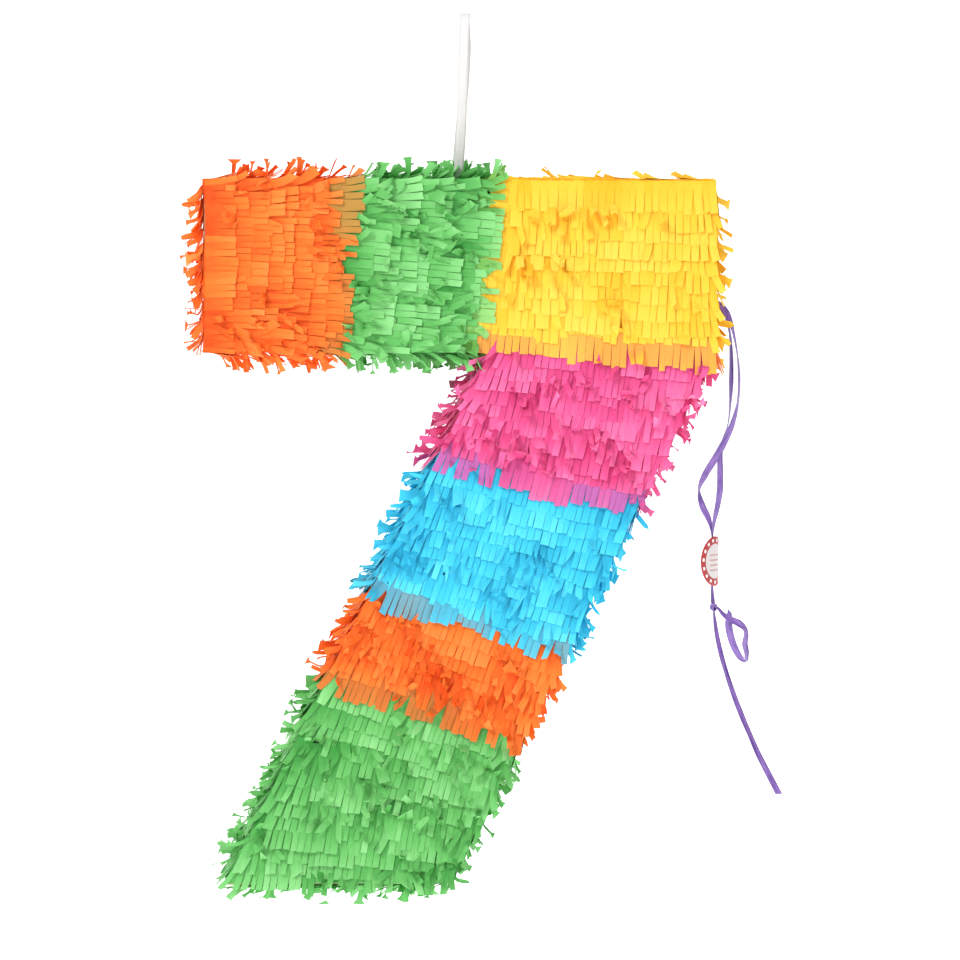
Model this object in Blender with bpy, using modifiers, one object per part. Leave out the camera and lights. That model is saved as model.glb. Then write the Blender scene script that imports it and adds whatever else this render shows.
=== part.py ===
"""A number-seven pinata: a cardboard box in the shape of a 7, dressed in bands of cut tissue fringe.

Units are metres, +Z is up and the front faces -Y.  The origin is the top of the hanging loop, inside
the bend, where a hook or a rope holds the pinata.
"""
import math

import bmesh
import bpy
from mathutils import Vector

# Driving sizes
SEVEN_WIDTH = 0.356          # bar, from its left end to its right end
SEVEN_HEIGHT = 0.492         # top of the bar to the foot of the stem
BAR_HEIGHT = 0.118
BOX_DEPTH = 0.070            # outside the front and back panels
STEM_WIDTH = 0.155           # measured level, not square to the stem
STEM_SLOPE = 0.50            # the stem moves this far left for each metre that it drops
BOARD = 0.003                # corrugated board
FIT = 0.0003                 # air between pieces that touch

# Hanging loop
LOOP_HEIGHT = 0.119          # top of the bar up to the inside of the loop's bend
LOOP_LEAN = 0.0057           # the bend lies this far to the right of the two holes
LOOP_BEND = 0.0045           # radius of the bend
LOOP_SPREAD = 0.010          # each hole's distance from the middle of the depth
LOOP_FROM_LEFT = 0.1775      # the holes, from the left end of the bar
TAPE_WIDTH = 0.006
TAPE_THICK = 0.0008
HOLE_WIDTH = 0.0026
HOLE_LENGTH = 0.011          # lets the tape lean in the board
FRINGE_HOLE_LENGTH = 0.022   # lets the tape lean in the fringe
SWING_DEG = 30.0             # the box tilts this far each way on the loop
PLATE_LENGTH = 0.060
PLATE_THICK = 0.002
KNOT_SIZE = (0.009, 0.007, 0.005)

# Filler opening in the top of the bar, over the stem
FLAP_LENGTH = 0.088
FLAP_WIDTH = 0.040
FLAP_FROM_RIGHT = 0.030      # from the right end of the bar
FLAP_GAP = 0.0010
FLAP_BARE = 0.009            # no fringe on the flap along its crease
CREASE_BARE = 0.0022         # nor on the box behind the crease
FRINGE_CUT = 0.0010          # the fringe is cut back this far around the flap

# Paper
FRINGE_THICK = 0.005
SEAM_TAPE_THICK = 0.0003
SEAM_TAPE_FACE = 0.016       # width on the front or back panel
SEAM_TAPE_SIDE = 0.009       # width on the side walls

# Where the fringe bands change: distances from the left end on the bar's top and underside,
# and drops below the underside at the stem's inner and outer side
ORANGE_GREEN_TOP = 0.112
ORANGE_GREEN_LOW = 0.100
GREEN_YELLOW_TOP = 0.214
PINK_START = (0.0, 0.014)
BLUE_START = (0.084, 0.117)
ORANGE_START = (0.174, 0.220)
GREEN_START = (0.240, 0.280)

# Ribbon and tag
RIBBON_CORE = 0.0013         # the gathered ribbon as a round cord
RIBBON_HOLE = 0.0060         # in the right end wall
RIBBON_DROP = 0.085          # below the top of the bar
RIBBON_ANCHOR = 0.0045       # radius of the knot inside the wall
LEAD_RADIUS = 0.0014         # both strands together, through the wall
KNOT_RADIUS = 0.0027
TAG_DIAMETER = 0.0355
TAG_THICK = 0.0006
TAG_STANDOFF = 0.0020        # the tag lies this far in front of the ribbon
TAG_FACING_DEG = 66.0        # turned to the right from the front
TAG_CENTRE = (0.0037, 0.0, -0.1837)

# Places that follow from the sizes
TOP = -LOOP_HEIGHT
UNDER = TOP - BAR_HEIGHT
FOOT = TOP - SEVEN_HEIGHT
LEFT = -LOOP_LEAN - LOOP_FROM_LEFT
RIGHT = LEFT + SEVEN_WIDTH
HALF_DEPTH = BOX_DEPTH / 2
DROP = UNDER - FOOT
SKIN_START = 2 * FIT + SEAM_TAPE_THICK
SKIN_END = SKIN_START + FRINGE_THICK
CORNER_IN = (RIGHT - STEM_WIDTH, UNDER)
SEVEN = [
    (LEFT, TOP),
    (RIGHT, TOP),
    (RIGHT, UNDER),
    (RIGHT - STEM_SLOPE * DROP, FOOT),
    (RIGHT - STEM_WIDTH - STEM_SLOPE * DROP, FOOT),
    CORNER_IN,
    (LEFT, UNDER),
]
WALL_NAMES = ["wall_top", "wall_end_right", "wall_stem_outer", "wall_foot",
              "wall_stem_inner", "wall_bar_under", "wall_end_left"]
HOLES_X = -LOOP_LEAN
FLAP_RIGHT = RIGHT - FLAP_FROM_RIGHT
FLAP_LEFT = FLAP_RIGHT - FLAP_LENGTH
CREASE_Y = FLAP_WIDTH / 2
RIBBON_EXIT = Vector((RIGHT, 0.0, TOP - RIBBON_DROP))

# Routes, each a list of points on a smooth curve, from the ribbon's hole in the end wall
STRAND_FRONT = [
    (0.0065, -0.0008, -0.0006), (0.0098, -0.0012, -0.0024), (0.0142, -0.0018, -0.0084),
    (0.0178, -0.0022, -0.0190), (0.0210, -0.0022, -0.0360), (0.0224, -0.0020, -0.0530),
    (0.0216, -0.0018, -0.0700), (0.0180, -0.0018, -0.0850), (0.0128, -0.0022, -0.0970),
    (0.0062, -0.0026, -0.1090), (-0.0018, -0.0024, -0.1220), (-0.0060, -0.0018, -0.1330),
    (-0.0036, -0.0012, -0.1440), (0.0010, -0.0008, -0.1540), (0.0029, -0.0004, -0.1640),
    (0.0029, 0.0000, -0.1760), (0.0029, 0.0000, -0.1910), (0.0029, 0.0000, -0.2040),
    (0.0034, 0.0000, -0.2130),
]
STRAND_BACK = [
    (0.0065, 0.0008, -0.0006), (0.0094, 0.0012, -0.0028), (0.0132, 0.0014, -0.0094),
    (0.0162, 0.0014, -0.0220), (0.0172, 0.0014, -0.0380), (0.0172, 0.0014, -0.0560),
    (0.0165, 0.0014, -0.0720), (0.0150, 0.0012, -0.0860), (0.0118, 0.0010, -0.0970),
    (0.0094, 0.0010, -0.1070), (0.0094, 0.0010, -0.1200), (0.0092, 0.0010, -0.1330),
    (0.0076, 0.0008, -0.1450), (0.0056, 0.0004, -0.1550), (0.0046, 0.0002, -0.1650),
    (0.0046, 0.0000, -0.1760), (0.0046, 0.0000, -0.1910), (0.0048, 0.0000, -0.2040),
    (0.0060, 0.0000, -0.2130),
]
TAIL_LONG = [
    (0.0050, 0.0000, -0.2198), (0.0057, 0.0002, -0.2260), (0.0072, 0.0004, -0.2360),
    (0.0100, 0.0006, -0.2490), (0.0140, 0.0008, -0.2630), (0.0190, 0.0010, -0.2780),
    (0.0247, 0.0010, -0.2930), (0.0307, 0.0008, -0.3070), (0.0372, 0.0006, -0.3220),
    (0.0444, 0.0004, -0.3360), (0.0522, 0.0002, -0.3510),
]
TAIL_CURLY = [
    (0.0082, -0.0006, -0.2176), (0.0117, -0.0020, -0.2218), (0.0167, -0.0038, -0.2252),
    (0.0222, -0.0046, -0.2278), (0.0267, -0.0036, -0.2316), (0.0280, -0.0012, -0.2370),
    (0.0276, 0.0016, -0.2430), (0.0292, 0.0040, -0.2500), (0.0288, 0.0064, -0.2556),
    (0.0247, 0.0080, -0.2530), (0.0208, 0.0082, -0.2460), (0.0180, 0.0074, -0.2380),
    (0.0164, 0.0062, -0.2290), (0.0172, 0.0050, -0.2200),
]
KNOT_PLACE = (0.0048, 0.0, -0.2166)


def clear_scene():
    for obj in list(bpy.data.objects):
        bpy.data.objects.remove(obj, do_unlink=True)


def new_collection(name):
    collection = bpy.data.collections.new(name)
    bpy.context.scene.collection.children.link(collection)
    return collection


def material(name, colour, roughness, metallic=0.0):
    mat = bpy.data.materials.new(name)
    mat.use_nodes = True
    shader = mat.node_tree.nodes["Principled BSDF"]
    shader.inputs["Base Color"].default_value = (*colour, 1.0)
    shader.inputs["Roughness"].default_value = roughness
    shader.inputs["Metallic"].default_value = metallic
    return mat


def link(obj, collection, mat=None):
    collection.objects.link(obj)
    if mat is not None:
        obj.data.materials.append(mat)
    return obj


def hide_cutter(obj):
    obj.hide_render = True
    obj.display_type = "WIRE"
    return obj


def offset_outline(points, distance):
    """The same clockwise outline with every side moved outward by the distance."""
    moved = []
    count = len(points)
    for i in range(count):
        before = Vector(points[i - 1])
        here = Vector(points[i])
        after = Vector(points[(i + 1) % count])
        way_in = (here - before).normalized()
        way_out = (after - here).normalized()
        normal_in = Vector((-way_in.y, way_in.x))
        normal_out = Vector((-way_out.y, way_out.x))
        middle = (normal_in + normal_out).normalized()
        moved.append(tuple(here + middle * distance / middle.dot(normal_in)))
    return moved


def prism(name, points, low_y, high_y):
    """A flat outline in the XZ plane given a thickness along Y, as a closed mesh object."""
    curve = bpy.data.curves.new(name, "CURVE")
    curve.dimensions = "2D"
    curve.fill_mode = "BOTH"
    curve.extrude = (high_y - low_y) / 2
    spline = curve.splines.new("POLY")
    spline.points.add(len(points) - 1)
    for point, (x, z) in zip(spline.points, points):
        point.co = (x, z, 0.0, 1.0)
    spline.use_cyclic_u = True
    flat = bpy.data.objects.new(name + "_outline", curve)
    flat.rotation_euler = (math.pi / 2, 0.0, 0.0)
    flat.location = (0.0, (low_y + high_y) / 2, 0.0)
    bpy.context.scene.collection.objects.link(flat)
    bpy.context.view_layer.update()
    evaluated = flat.evaluated_get(bpy.context.evaluated_depsgraph_get())
    mesh = bpy.data.meshes.new_from_object(evaluated)
    mesh.name = name
    solid = bpy.data.objects.new(name, mesh)
    solid.matrix_world = flat.matrix_world.copy()
    bpy.data.objects.remove(flat, do_unlink=True)
    bpy.data.curves.remove(curve)
    weld(mesh)
    return solid


def weld(mesh):
    shape = bmesh.new()
    shape.from_mesh(mesh)
    bmesh.ops.remove_doubles(shape, verts=shape.verts, dist=1e-6)
    bmesh.ops.recalc_face_normals(shape, faces=shape.faces)
    shape.to_mesh(mesh)
    shape.free()


def box(name, low, high):
    shape = bmesh.new()
    bmesh.ops.create_cube(shape, size=1.0)
    mesh = bpy.data.meshes.new(name)
    size = [b - a for a, b in zip(low, high)]
    bmesh.ops.scale(shape, vec=size, verts=shape.verts)
    shape.to_mesh(mesh)
    shape.free()
    obj = bpy.data.objects.new(name, mesh)
    obj.location = [(a + b) / 2 for a, b in zip(low, high)]
    return obj


def cylinder(name, radius, length, segments=32):
    """A cylinder along its own Z."""
    shape = bmesh.new()
    bmesh.ops.create_cone(shape, cap_ends=True, segments=segments, radius1=radius, radius2=radius,
                          depth=length)
    mesh = bpy.data.meshes.new(name)
    shape.to_mesh(mesh)
    shape.free()
    return bpy.data.objects.new(name, mesh)


def ellipsoid(name, radii, place):
    shape = bmesh.new()
    bmesh.ops.create_uvsphere(shape, u_segments=16, v_segments=10, radius=1.0)
    bmesh.ops.scale(shape, vec=radii, verts=shape.verts)
    mesh = bpy.data.meshes.new(name)
    shape.to_mesh(mesh)
    shape.free()
    mesh.shade_smooth()
    obj = bpy.data.objects.new(name, mesh)
    obj.location = place
    return obj


def boolean(obj, cutter, operation="DIFFERENCE"):
    modifier = obj.modifiers.new(operation.title() + "_" + cutter.name, "BOOLEAN")
    modifier.operation = operation
    modifier.object = cutter
    modifier.solver = "EXACT"


def smooth_route(points, spacing):
    """Points every spacing along the smooth curve through the given ones."""
    route = [Vector(p) for p in points]
    padded = [2 * route[0] - route[1], *route, 2 * route[-1] - route[-2]]
    fine = []
    steps = 24
    for i in range(1, len(padded) - 2):
        before, start, end, after = padded[i - 1:i + 3]
        for k in range(steps):
            t = k / steps
            fine.append(0.5 * ((2 * start) + (end - before) * t
                               + (2 * before - 5 * start + 4 * end - after) * t ** 2
                               + (3 * start - before - 3 * end + after) * t ** 3))
    fine.append(route[-1])
    total = sum((b - a).length for a, b in zip(fine, fine[1:]))
    count = max(2, round(total / spacing))
    picked = [fine[0]]
    walked = 0.0
    for a, b in zip(fine, fine[1:]):
        walked += (b - a).length
        if walked >= len(picked) * total / count and len(picked) < count:
            picked.append(b)
    picked.append(fine[-1])
    return picked


def cord(name, points, collection, mat):
    """A free cord as a thin tube with closed ends."""
    curve = bpy.data.curves.new(name, "CURVE")
    curve.dimensions = "3D"
    curve.bevel_depth = RIBBON_CORE / 2
    curve.bevel_resolution = 2
    curve.use_fill_caps = True
    route = smooth_route([RIBBON_EXIT + Vector(p) for p in points], 3.5 * RIBBON_CORE)
    spline = curve.splines.new("POLY")
    spline.points.add(len(route) - 1)
    for point, place in zip(spline.points, route):
        point.co = (*place, 1.0)
    return link(bpy.data.objects.new(name, curve), collection, mat)


def strip(name, profile, width, thickness, collection, mat):
    """A tape that follows a profile of (x, y, z) points, its width along X."""
    shape = bmesh.new()
    row = [shape.verts.new((x - width / 2, y, z)) for x, y, z in profile]
    edges = [shape.edges.new(pair) for pair in zip(row, row[1:])]
    pulled = bmesh.ops.extrude_edge_only(shape, edges=edges)
    moved = [v for v in pulled["geom"] if isinstance(v, bmesh.types.BMVert)]
    bmesh.ops.translate(shape, verts=moved, vec=(width, 0.0, 0.0))
    mesh = bpy.data.meshes.new(name)
    shape.to_mesh(mesh)
    shape.free()
    obj = link(bpy.data.objects.new(name, mesh), collection, mat)
    solid = obj.modifiers.new("Thickness", "SOLIDIFY")
    solid.thickness = thickness
    solid.offset = 0.0
    solid.use_even_offset = True
    return obj


def arc(centre, radius, start_deg, end_deg, count):
    """Points (y, z) on an arc."""
    points = []
    for i in range(count + 1):
        angle = math.radians(start_deg + (end_deg - start_deg) * i / count)
        points.append((centre[0] + radius * math.cos(angle), centre[1] + radius * math.sin(angle)))
    return points


def make_cutters(cutters):
    """The holes and the filler opening, each cut through board and fringe from the same values."""
    high = TOP + SKIN_END + FIT
    low = TOP - BOARD - PLATE_THICK - 4 * FIT
    made = {"board_holes": [], "fringe_holes": []}
    for side, y in (("front", -LOOP_SPREAD), ("back", LOOP_SPREAD)):
        for kind, length in (("board_holes", HOLE_LENGTH), ("fringe_holes", FRINGE_HOLE_LENGTH)):
            bottom = low if kind == "board_holes" else TOP + SEAM_TAPE_THICK
            hole = box(f"cut_{kind}_{side}", (HOLES_X - length / 2, y - HOLE_WIDTH / 2, bottom),
                       (HOLES_X + length / 2, y + HOLE_WIDTH / 2, high))
            made[kind].append(hide_cutter(link(hole, cutters)))
    opening = box("cut_filler_board", (FLAP_LEFT - FLAP_GAP, -CREASE_Y - FLAP_GAP, low),
                  (FLAP_RIGHT + FLAP_GAP, CREASE_Y + FIT, TOP + SEAM_TAPE_THICK))
    made["opening"] = hide_cutter(link(opening, cutters))
    reach = FLAP_GAP + FRINGE_CUT
    fringe = box("cut_filler_fringe", (FLAP_LEFT - reach, -CREASE_Y - reach, TOP),
                 (FLAP_RIGHT + reach, CREASE_Y + CREASE_BARE, high))
    made["fringe_opening"] = hide_cutter(link(fringe, cutters))
    hole = cylinder("cut_ribbon_hole", RIBBON_HOLE / 2, 4 * (BOARD + SKIN_END))
    hole.rotation_euler = (0.0, math.pi / 2, 0.0)
    hole.location = RIBBON_EXIT
    made["ribbon"] = hide_cutter(link(hole, cutters))
    return made


def make_boards(parts, cuts, mat):
    """Front and back panels, and the seven walls between them with mitred corners."""
    for name, low, high in (("front_panel", -HALF_DEPTH, -HALF_DEPTH + BOARD),
                            ("back_panel", HALF_DEPTH - BOARD, HALF_DEPTH)):
        link(prism(name, SEVEN, low, high), parts, mat)
    inner = offset_outline(SEVEN, -BOARD)
    reach = HALF_DEPTH - BOARD - FIT
    walls = {}
    for i, name in enumerate(WALL_NAMES):
        start, end = Vector(SEVEN[i]), Vector(SEVEN[(i + 1) % len(SEVEN)])
        along = (end - start).normalized() * FIT
        inner_start, inner_end = Vector(inner[i]), Vector(inner[(i + 1) % len(SEVEN)])
        corners = [start + along, end - along, inner_end - along, inner_start + along]
        walls[name] = link(prism(name, [tuple(c) for c in corners], -reach, reach), parts, mat)
    for hole in cuts["board_holes"]:
        boolean(walls["wall_top"], hole)
    boolean(walls["wall_top"], cuts["opening"])
    boolean(walls["wall_end_right"], cuts["ribbon"])


def make_seam_tapes(parts, cutters, mat):
    """Paper tape folded over the front and back edges all the way round."""
    outer = offset_outline(SEVEN, FIT + SEAM_TAPE_THICK)
    under = offset_outline(SEVEN, FIT)
    window = offset_outline(SEVEN, -SEAM_TAPE_FACE)
    face = HALF_DEPTH + FIT + SEAM_TAPE_THICK
    side = HALF_DEPTH - SEAM_TAPE_SIDE
    for name, sign in (("front_seam_tape", -1), ("back_seam_tape", 1)):
        low, high = sorted((sign * face, sign * side))
        tape = link(prism(name, outer, low, high), parts, mat)
        low, high = sorted((sign * (HALF_DEPTH + FIT), sign * (side - BOARD)))
        core = hide_cutter(link(prism("cut_core_" + name, under, low, high), cutters))
        low, high = sorted((sign * (face + BOARD), sign * side))
        hole = hide_cutter(link(prism("cut_window_" + name, window, low, high), cutters))
        boolean(tape, core)
        boolean(tape, hole)


def stem_point(drop, outer):
    """A point on the stem's inner or outer side, at a drop below the bar."""
    start_x = RIGHT if outer else CORNER_IN[0]
    return Vector((start_x - STEM_SLOPE * drop, UNDER - drop))


def band_regions():
    """The outline that each colour covers, reaching past the skin on the outside."""
    past = 5 * FRINGE_THICK
    corner = Vector(CORNER_IN)
    down_stem = Vector((-STEM_SLOPE, -1.0)).normalized()
    notch = corner + (down_stem + Vector((-1.0, 0.0))).normalized() * 2 * past
    seam_a = [Vector((LEFT + ORANGE_GREEN_TOP, TOP)), Vector((LEFT + ORANGE_GREEN_LOW, UNDER))]
    rise = (seam_a[0] - seam_a[1]).normalized() * past
    a_top, a_low = seam_a[0] + rise, seam_a[1] - rise
    seam_b = Vector((LEFT + GREEN_YELLOW_TOP, TOP))
    b_top = seam_b + (seam_b - corner).normalized() * past
    left_top, left_low = Vector((LEFT - past, TOP + past)), Vector((LEFT - past, UNDER - past))
    cuts = []
    for start in (PINK_START, BLUE_START, ORANGE_START, GREEN_START):
        inner, outer = stem_point(start[0], False), stem_point(start[1], True)
        reach = (outer - inner).normalized() * past
        cuts.append((inner - reach, outer + reach))
    cuts[0] = (corner, cuts[0][1])
    foot = (stem_point(DROP + past, False) - Vector((past, 0.0)),
            stem_point(DROP + past, True) + Vector((past, 0.0)))
    regions = {
        "fringe_orange_bar": [left_top, a_top, a_low, left_low],
        "fringe_green_bar": [a_top, b_top, corner, notch, Vector((notch.x, UNDER - past)), a_low],
        "fringe_yellow": [b_top, Vector((RIGHT + past, TOP + past)), cuts[0][1], corner],
        "fringe_pink": [corner, cuts[0][1], cuts[1][1], cuts[1][0], notch],
        "fringe_blue": [cuts[1][0], cuts[1][1], cuts[2][1], cuts[2][0]],
        "fringe_orange_stem": [cuts[2][0], cuts[2][1], cuts[3][1], cuts[3][0]],
        "fringe_green_stem": [cuts[3][0], cuts[3][1], foot[1], foot[0]],
    }
    return {name: offset_outline([tuple(p) for p in points], -FIT / 2)
            for name, points in regions.items()}


def make_fringe(parts, cutters, cuts, mats):
    """Each colour's fringe as a skin that wraps the box: front, back and sides."""
    outer = offset_outline(SEVEN, SKIN_END)
    inner = offset_outline(SEVEN, SKIN_START)
    reach = HALF_DEPTH + SKIN_END
    core = prism("cut_box", inner, -HALF_DEPTH - SKIN_START, HALF_DEPTH + SKIN_START)
    hide_cutter(link(core, cutters))
    skins = {}
    for name, region in band_regions().items():
        skin = link(prism(name, outer, -reach, reach), parts, mats[name])
        limits = hide_cutter(link(prism("cut_" + name, region, -reach - BOARD, reach + BOARD), cutters))
        boolean(skin, limits, "INTERSECT")
        boolean(skin, core)
        skins[name] = skin
    for hole in cuts["fringe_holes"]:
        boolean(skins["fringe_green_bar"], hole)
    boolean(skins["fringe_yellow"], cuts["fringe_opening"])
    boolean(skins["fringe_yellow"], cuts["ribbon"])


def make_flap(parts, board_mat, fringe_mat):
    """The flap in the top of the bar; its crease runs along the back, at the board's outer face."""
    crease = bpy.data.objects.new("flap_crease", None)
    crease.location = ((FLAP_LEFT + FLAP_RIGHT) / 2, CREASE_Y, TOP)
    parts.objects.link(crease)
    bpy.context.view_layer.update()
    flap = box("filler_flap", (FLAP_LEFT, -CREASE_Y, TOP - BOARD), (FLAP_RIGHT, CREASE_Y - FIT, TOP))
    fringe = box("fringe_flap", (FLAP_LEFT + FRINGE_CUT, -CREASE_Y + FRINGE_CUT, TOP + SKIN_START),
                 (FLAP_RIGHT - FRINGE_CUT, CREASE_Y - FLAP_BARE, TOP + SKIN_END))
    for obj, mat in ((flap, board_mat), (fringe, fringe_mat)):
        link(obj, parts, mat)
        obj.parent = crease
        obj.matrix_parent_inverse = crease.matrix_world.inverted()


def make_loop(parts, tape_mat, board_mat, cuts):
    """The hanging loop, its backing plate under the top wall and the tie that holds it there."""
    half_tape = TAPE_THICK / 2
    bend = arc((0.0, -LOOP_BEND), LOOP_BEND + half_tape, 180.0, 0.0, 12)
    foot = TOP - BOARD / 2
    flat = [(-LOOP_SPREAD, foot), (-LOOP_SPREAD, TOP + FRINGE_THICK)]
    flat += bend + [(LOOP_SPREAD, TOP + FRINGE_THICK), (LOOP_SPREAD, foot)]
    profile = [(LOOP_LEAN * z / LOOP_HEIGHT, y, z) for y, z in flat]
    strip("hanging_loop", profile, TAPE_WIDTH, TAPE_THICK, parts, tape_mat)
    plate_top = TOP - BOARD - FIT
    plate = box("loop_backing_plate",
                (HOLES_X - PLATE_LENGTH / 2, -HALF_DEPTH + 2 * BOARD, plate_top - PLATE_THICK),
                (HOLES_X + PLATE_LENGTH / 2, HALF_DEPTH - 2 * BOARD, plate_top))
    link(plate, parts, board_mat)
    for hole in cuts["board_holes"]:
        boolean(plate, hole)
    tie_low = plate_top - PLATE_THICK - FIT - half_tape
    tie_high = foot - TAPE_WIDTH / 2 * math.sin(math.radians(SWING_DEG)) - 2 * FIT
    tie = [(HOLES_X, -LOOP_SPREAD, tie_high), (HOLES_X, -LOOP_SPREAD, tie_low),
           (HOLES_X, LOOP_SPREAD, tie_low), (HOLES_X, LOOP_SPREAD, tie_high)]
    strip("loop_tie", tie, TAPE_WIDTH, TAPE_THICK, parts, tape_mat)
    knot_z = tie_low - half_tape - FIT - KNOT_SIZE[2]
    link(ellipsoid("loop_knot", KNOT_SIZE, (HOLES_X, 0.0, knot_z)), parts, tape_mat)


def make_ribbon(parts, ribbon_mat, tag_mat):
    """The doubled ribbon from the right end wall, its knots and tails, and the round card tag."""
    behind_wall = RIBBON_EXIT - Vector((BOARD + FIT + RIBBON_ANCHOR, 0.0, 0.0))
    link(ellipsoid("ribbon_anchor_knot", (RIBBON_ANCHOR,) * 3, behind_wall), parts, ribbon_mat)
    lead_start = -BOARD
    lead = link(cylinder("ribbon_lead", LEAD_RADIUS, SKIN_END - lead_start, 16), parts, ribbon_mat)
    lead.rotation_euler = (0.0, math.pi / 2, 0.0)
    lead.location = RIBBON_EXIT + Vector(((SKIN_END + lead_start) / 2, 0.0, 0.0))
    for name, route in (("ribbon_strand_front", STRAND_FRONT), ("ribbon_strand_back", STRAND_BACK),
                        ("ribbon_tail_long", TAIL_LONG), ("ribbon_tail_curly", TAIL_CURLY)):
        cord(name, route, parts, ribbon_mat)
    knot_place = RIBBON_EXIT + Vector(KNOT_PLACE)
    link(ellipsoid("ribbon_knot", (KNOT_RADIUS,) * 3, knot_place), parts, ribbon_mat)
    turn = math.radians(TAG_FACING_DEG)
    facing = Vector((math.sin(turn), -math.cos(turn), 0.0))
    tag = link(cylinder("round_tag", TAG_DIAMETER / 2, TAG_THICK, 40), parts, tag_mat)
    tag.rotation_euler = facing.to_track_quat("Z", "Y").to_euler()
    tag.location = RIBBON_EXIT + Vector(TAG_CENTRE) + facing * TAG_STANDOFF


def main():
    clear_scene()
    parts = new_collection("pinata")
    cutters = new_collection("cutters")
    card = material("brown_card", (0.42, 0.27, 0.15), 0.85)
    paper_tape = material("paper_tape", (0.60, 0.47, 0.30), 0.70)
    tape = material("white_tape", (0.86, 0.84, 0.83), 0.60)
    ribbon = material("purple_ribbon", (0.27, 0.12, 0.55), 0.25)
    tag_card = material("tag_card", (0.80, 0.74, 0.74), 0.45)
    tissue = {
        "orange": material("orange_tissue", (0.90, 0.19, 0.04), 0.75),
        "green": material("green_tissue", (0.19, 0.56, 0.15), 0.75),
        "yellow": material("yellow_tissue", (0.97, 0.62, 0.05), 0.75),
        "pink": material("pink_tissue", (0.85, 0.12, 0.33), 0.75),
        "blue": material("blue_tissue", (0.11, 0.56, 0.82), 0.75),
    }
    mats = {name: tissue[name.split("_")[1]] for name in band_regions()}
    cuts = make_cutters(cutters)
    make_boards(parts, cuts, card)
    make_seam_tapes(parts, cutters, paper_tape)
    make_fringe(parts, cutters, cuts, mats)
    make_flap(parts, card, tissue["yellow"])
    make_loop(parts, tape, card, cuts)
    make_ribbon(parts, ribbon, tag_card)


main()
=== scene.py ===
import math
import bmesh
import bpy
import numpy as np
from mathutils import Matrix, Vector


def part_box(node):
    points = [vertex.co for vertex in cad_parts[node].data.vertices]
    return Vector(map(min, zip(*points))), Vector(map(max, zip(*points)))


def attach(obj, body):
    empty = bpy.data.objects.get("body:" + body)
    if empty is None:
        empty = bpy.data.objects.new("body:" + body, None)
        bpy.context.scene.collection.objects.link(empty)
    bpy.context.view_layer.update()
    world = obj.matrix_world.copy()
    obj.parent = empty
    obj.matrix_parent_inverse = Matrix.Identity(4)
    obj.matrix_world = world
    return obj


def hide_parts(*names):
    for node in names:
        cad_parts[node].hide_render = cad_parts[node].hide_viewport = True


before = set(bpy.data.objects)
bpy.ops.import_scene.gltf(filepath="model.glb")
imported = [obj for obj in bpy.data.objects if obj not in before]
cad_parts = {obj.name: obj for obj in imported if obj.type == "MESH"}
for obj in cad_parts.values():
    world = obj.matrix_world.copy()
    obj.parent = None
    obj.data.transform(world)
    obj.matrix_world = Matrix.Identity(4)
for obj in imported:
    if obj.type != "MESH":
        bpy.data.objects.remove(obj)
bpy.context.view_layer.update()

sceneNow = bpy.context.scene
sceneNow.view_settings.view_transform = "Standard"   # keeps the tissue colours as bright as they are
parts = bpy.data.collections.new("pinataLooks")
sceneNow.collection.children.link(parts)

# Where the box lies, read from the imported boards
panelLow, panelHigh = (Vector(c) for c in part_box("front_panel"))
backLow, backHigh = (Vector(c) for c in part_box("back_panel"))
footLow, footHigh = (Vector(c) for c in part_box("wall_foot"))
underLow, underHigh = (Vector(c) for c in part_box("wall_bar_under"))
flapLow, flapHigh = (Vector(c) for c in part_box("filler_flap"))
boardGap = 0.0003                       # air left at each mitre
barLeft, barRight = panelLow.x, panelHigh.x
barTop, barUnder, footZ = panelHigh.z, underLow.z, panelLow.z
footLeft, footRight = footLow.x - boardGap, footHigh.x + boardGap
halfDepth = backHigh.y
innerCornerX = barRight - (footRight - footLeft)
stemDrop = barUnder - footZ
stemSlope = (barRight - footRight) / stemDrop


def stemSide(drop, outer):
    startX = barRight if outer else innerCornerX
    return (startX - stemSlope * drop, barUnder - drop)


# ---------------------------------------------------------------- meshes
def addMesh(name, verts, faces, material, body, smooth=True):
    mesh = bpy.data.meshes.new(name)
    mesh.from_pydata([tuple(v) for v in verts], [], faces)
    mesh.validate()
    if smooth:
        mesh.shade_smooth()
    mesh.materials.append(material)
    obj = bpy.data.objects.new(name, mesh)
    parts.objects.link(obj)
    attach(obj, body)
    return obj


def thicken(obj, amount, offset=0.0):
    shell = obj.modifiers.new("paperThickness", "SOLIDIFY")
    shell.thickness = amount
    shell.offset = offset


def smoothLine(points, spacing):
    # points at an even spacing along a smooth curve through the given ones, and each one's place in the list
    route = [Vector(p) for p in points]
    padded = [2 * route[0] - route[1], *route, 2 * route[-1] - route[-2]]
    fine, places = [], []
    steps = 24
    for i in range(1, len(padded) - 2):
        before, start, end, after = padded[i - 1:i + 3]
        for k in range(steps):
            t = k / steps
            fine.append(0.5 * ((2 * start) + (end - before) * t
                               + (2 * before - 5 * start + 4 * end - after) * t ** 2
                               + (3 * start - before - 3 * end + after) * t ** 3))
            places.append(i - 1 + t)
    fine.append(route[-1])
    places.append(len(route) - 1.0)
    reach = [0.0]
    for a, b in zip(fine, fine[1:]):
        reach.append(reach[-1] + (b - a).length)
    count = max(3, round(reach[-1] / spacing))
    wanted = [reach[-1] * k / count for k in range(count + 1)]
    rows = np.array([[*p] for p in fine])
    line = [Vector([np.interp(w, reach, rows[:, axis]) for axis in range(3)]) for w in wanted]
    return line, [float(np.interp(w, reach, places)) for w in wanted], reach[-1]


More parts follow.
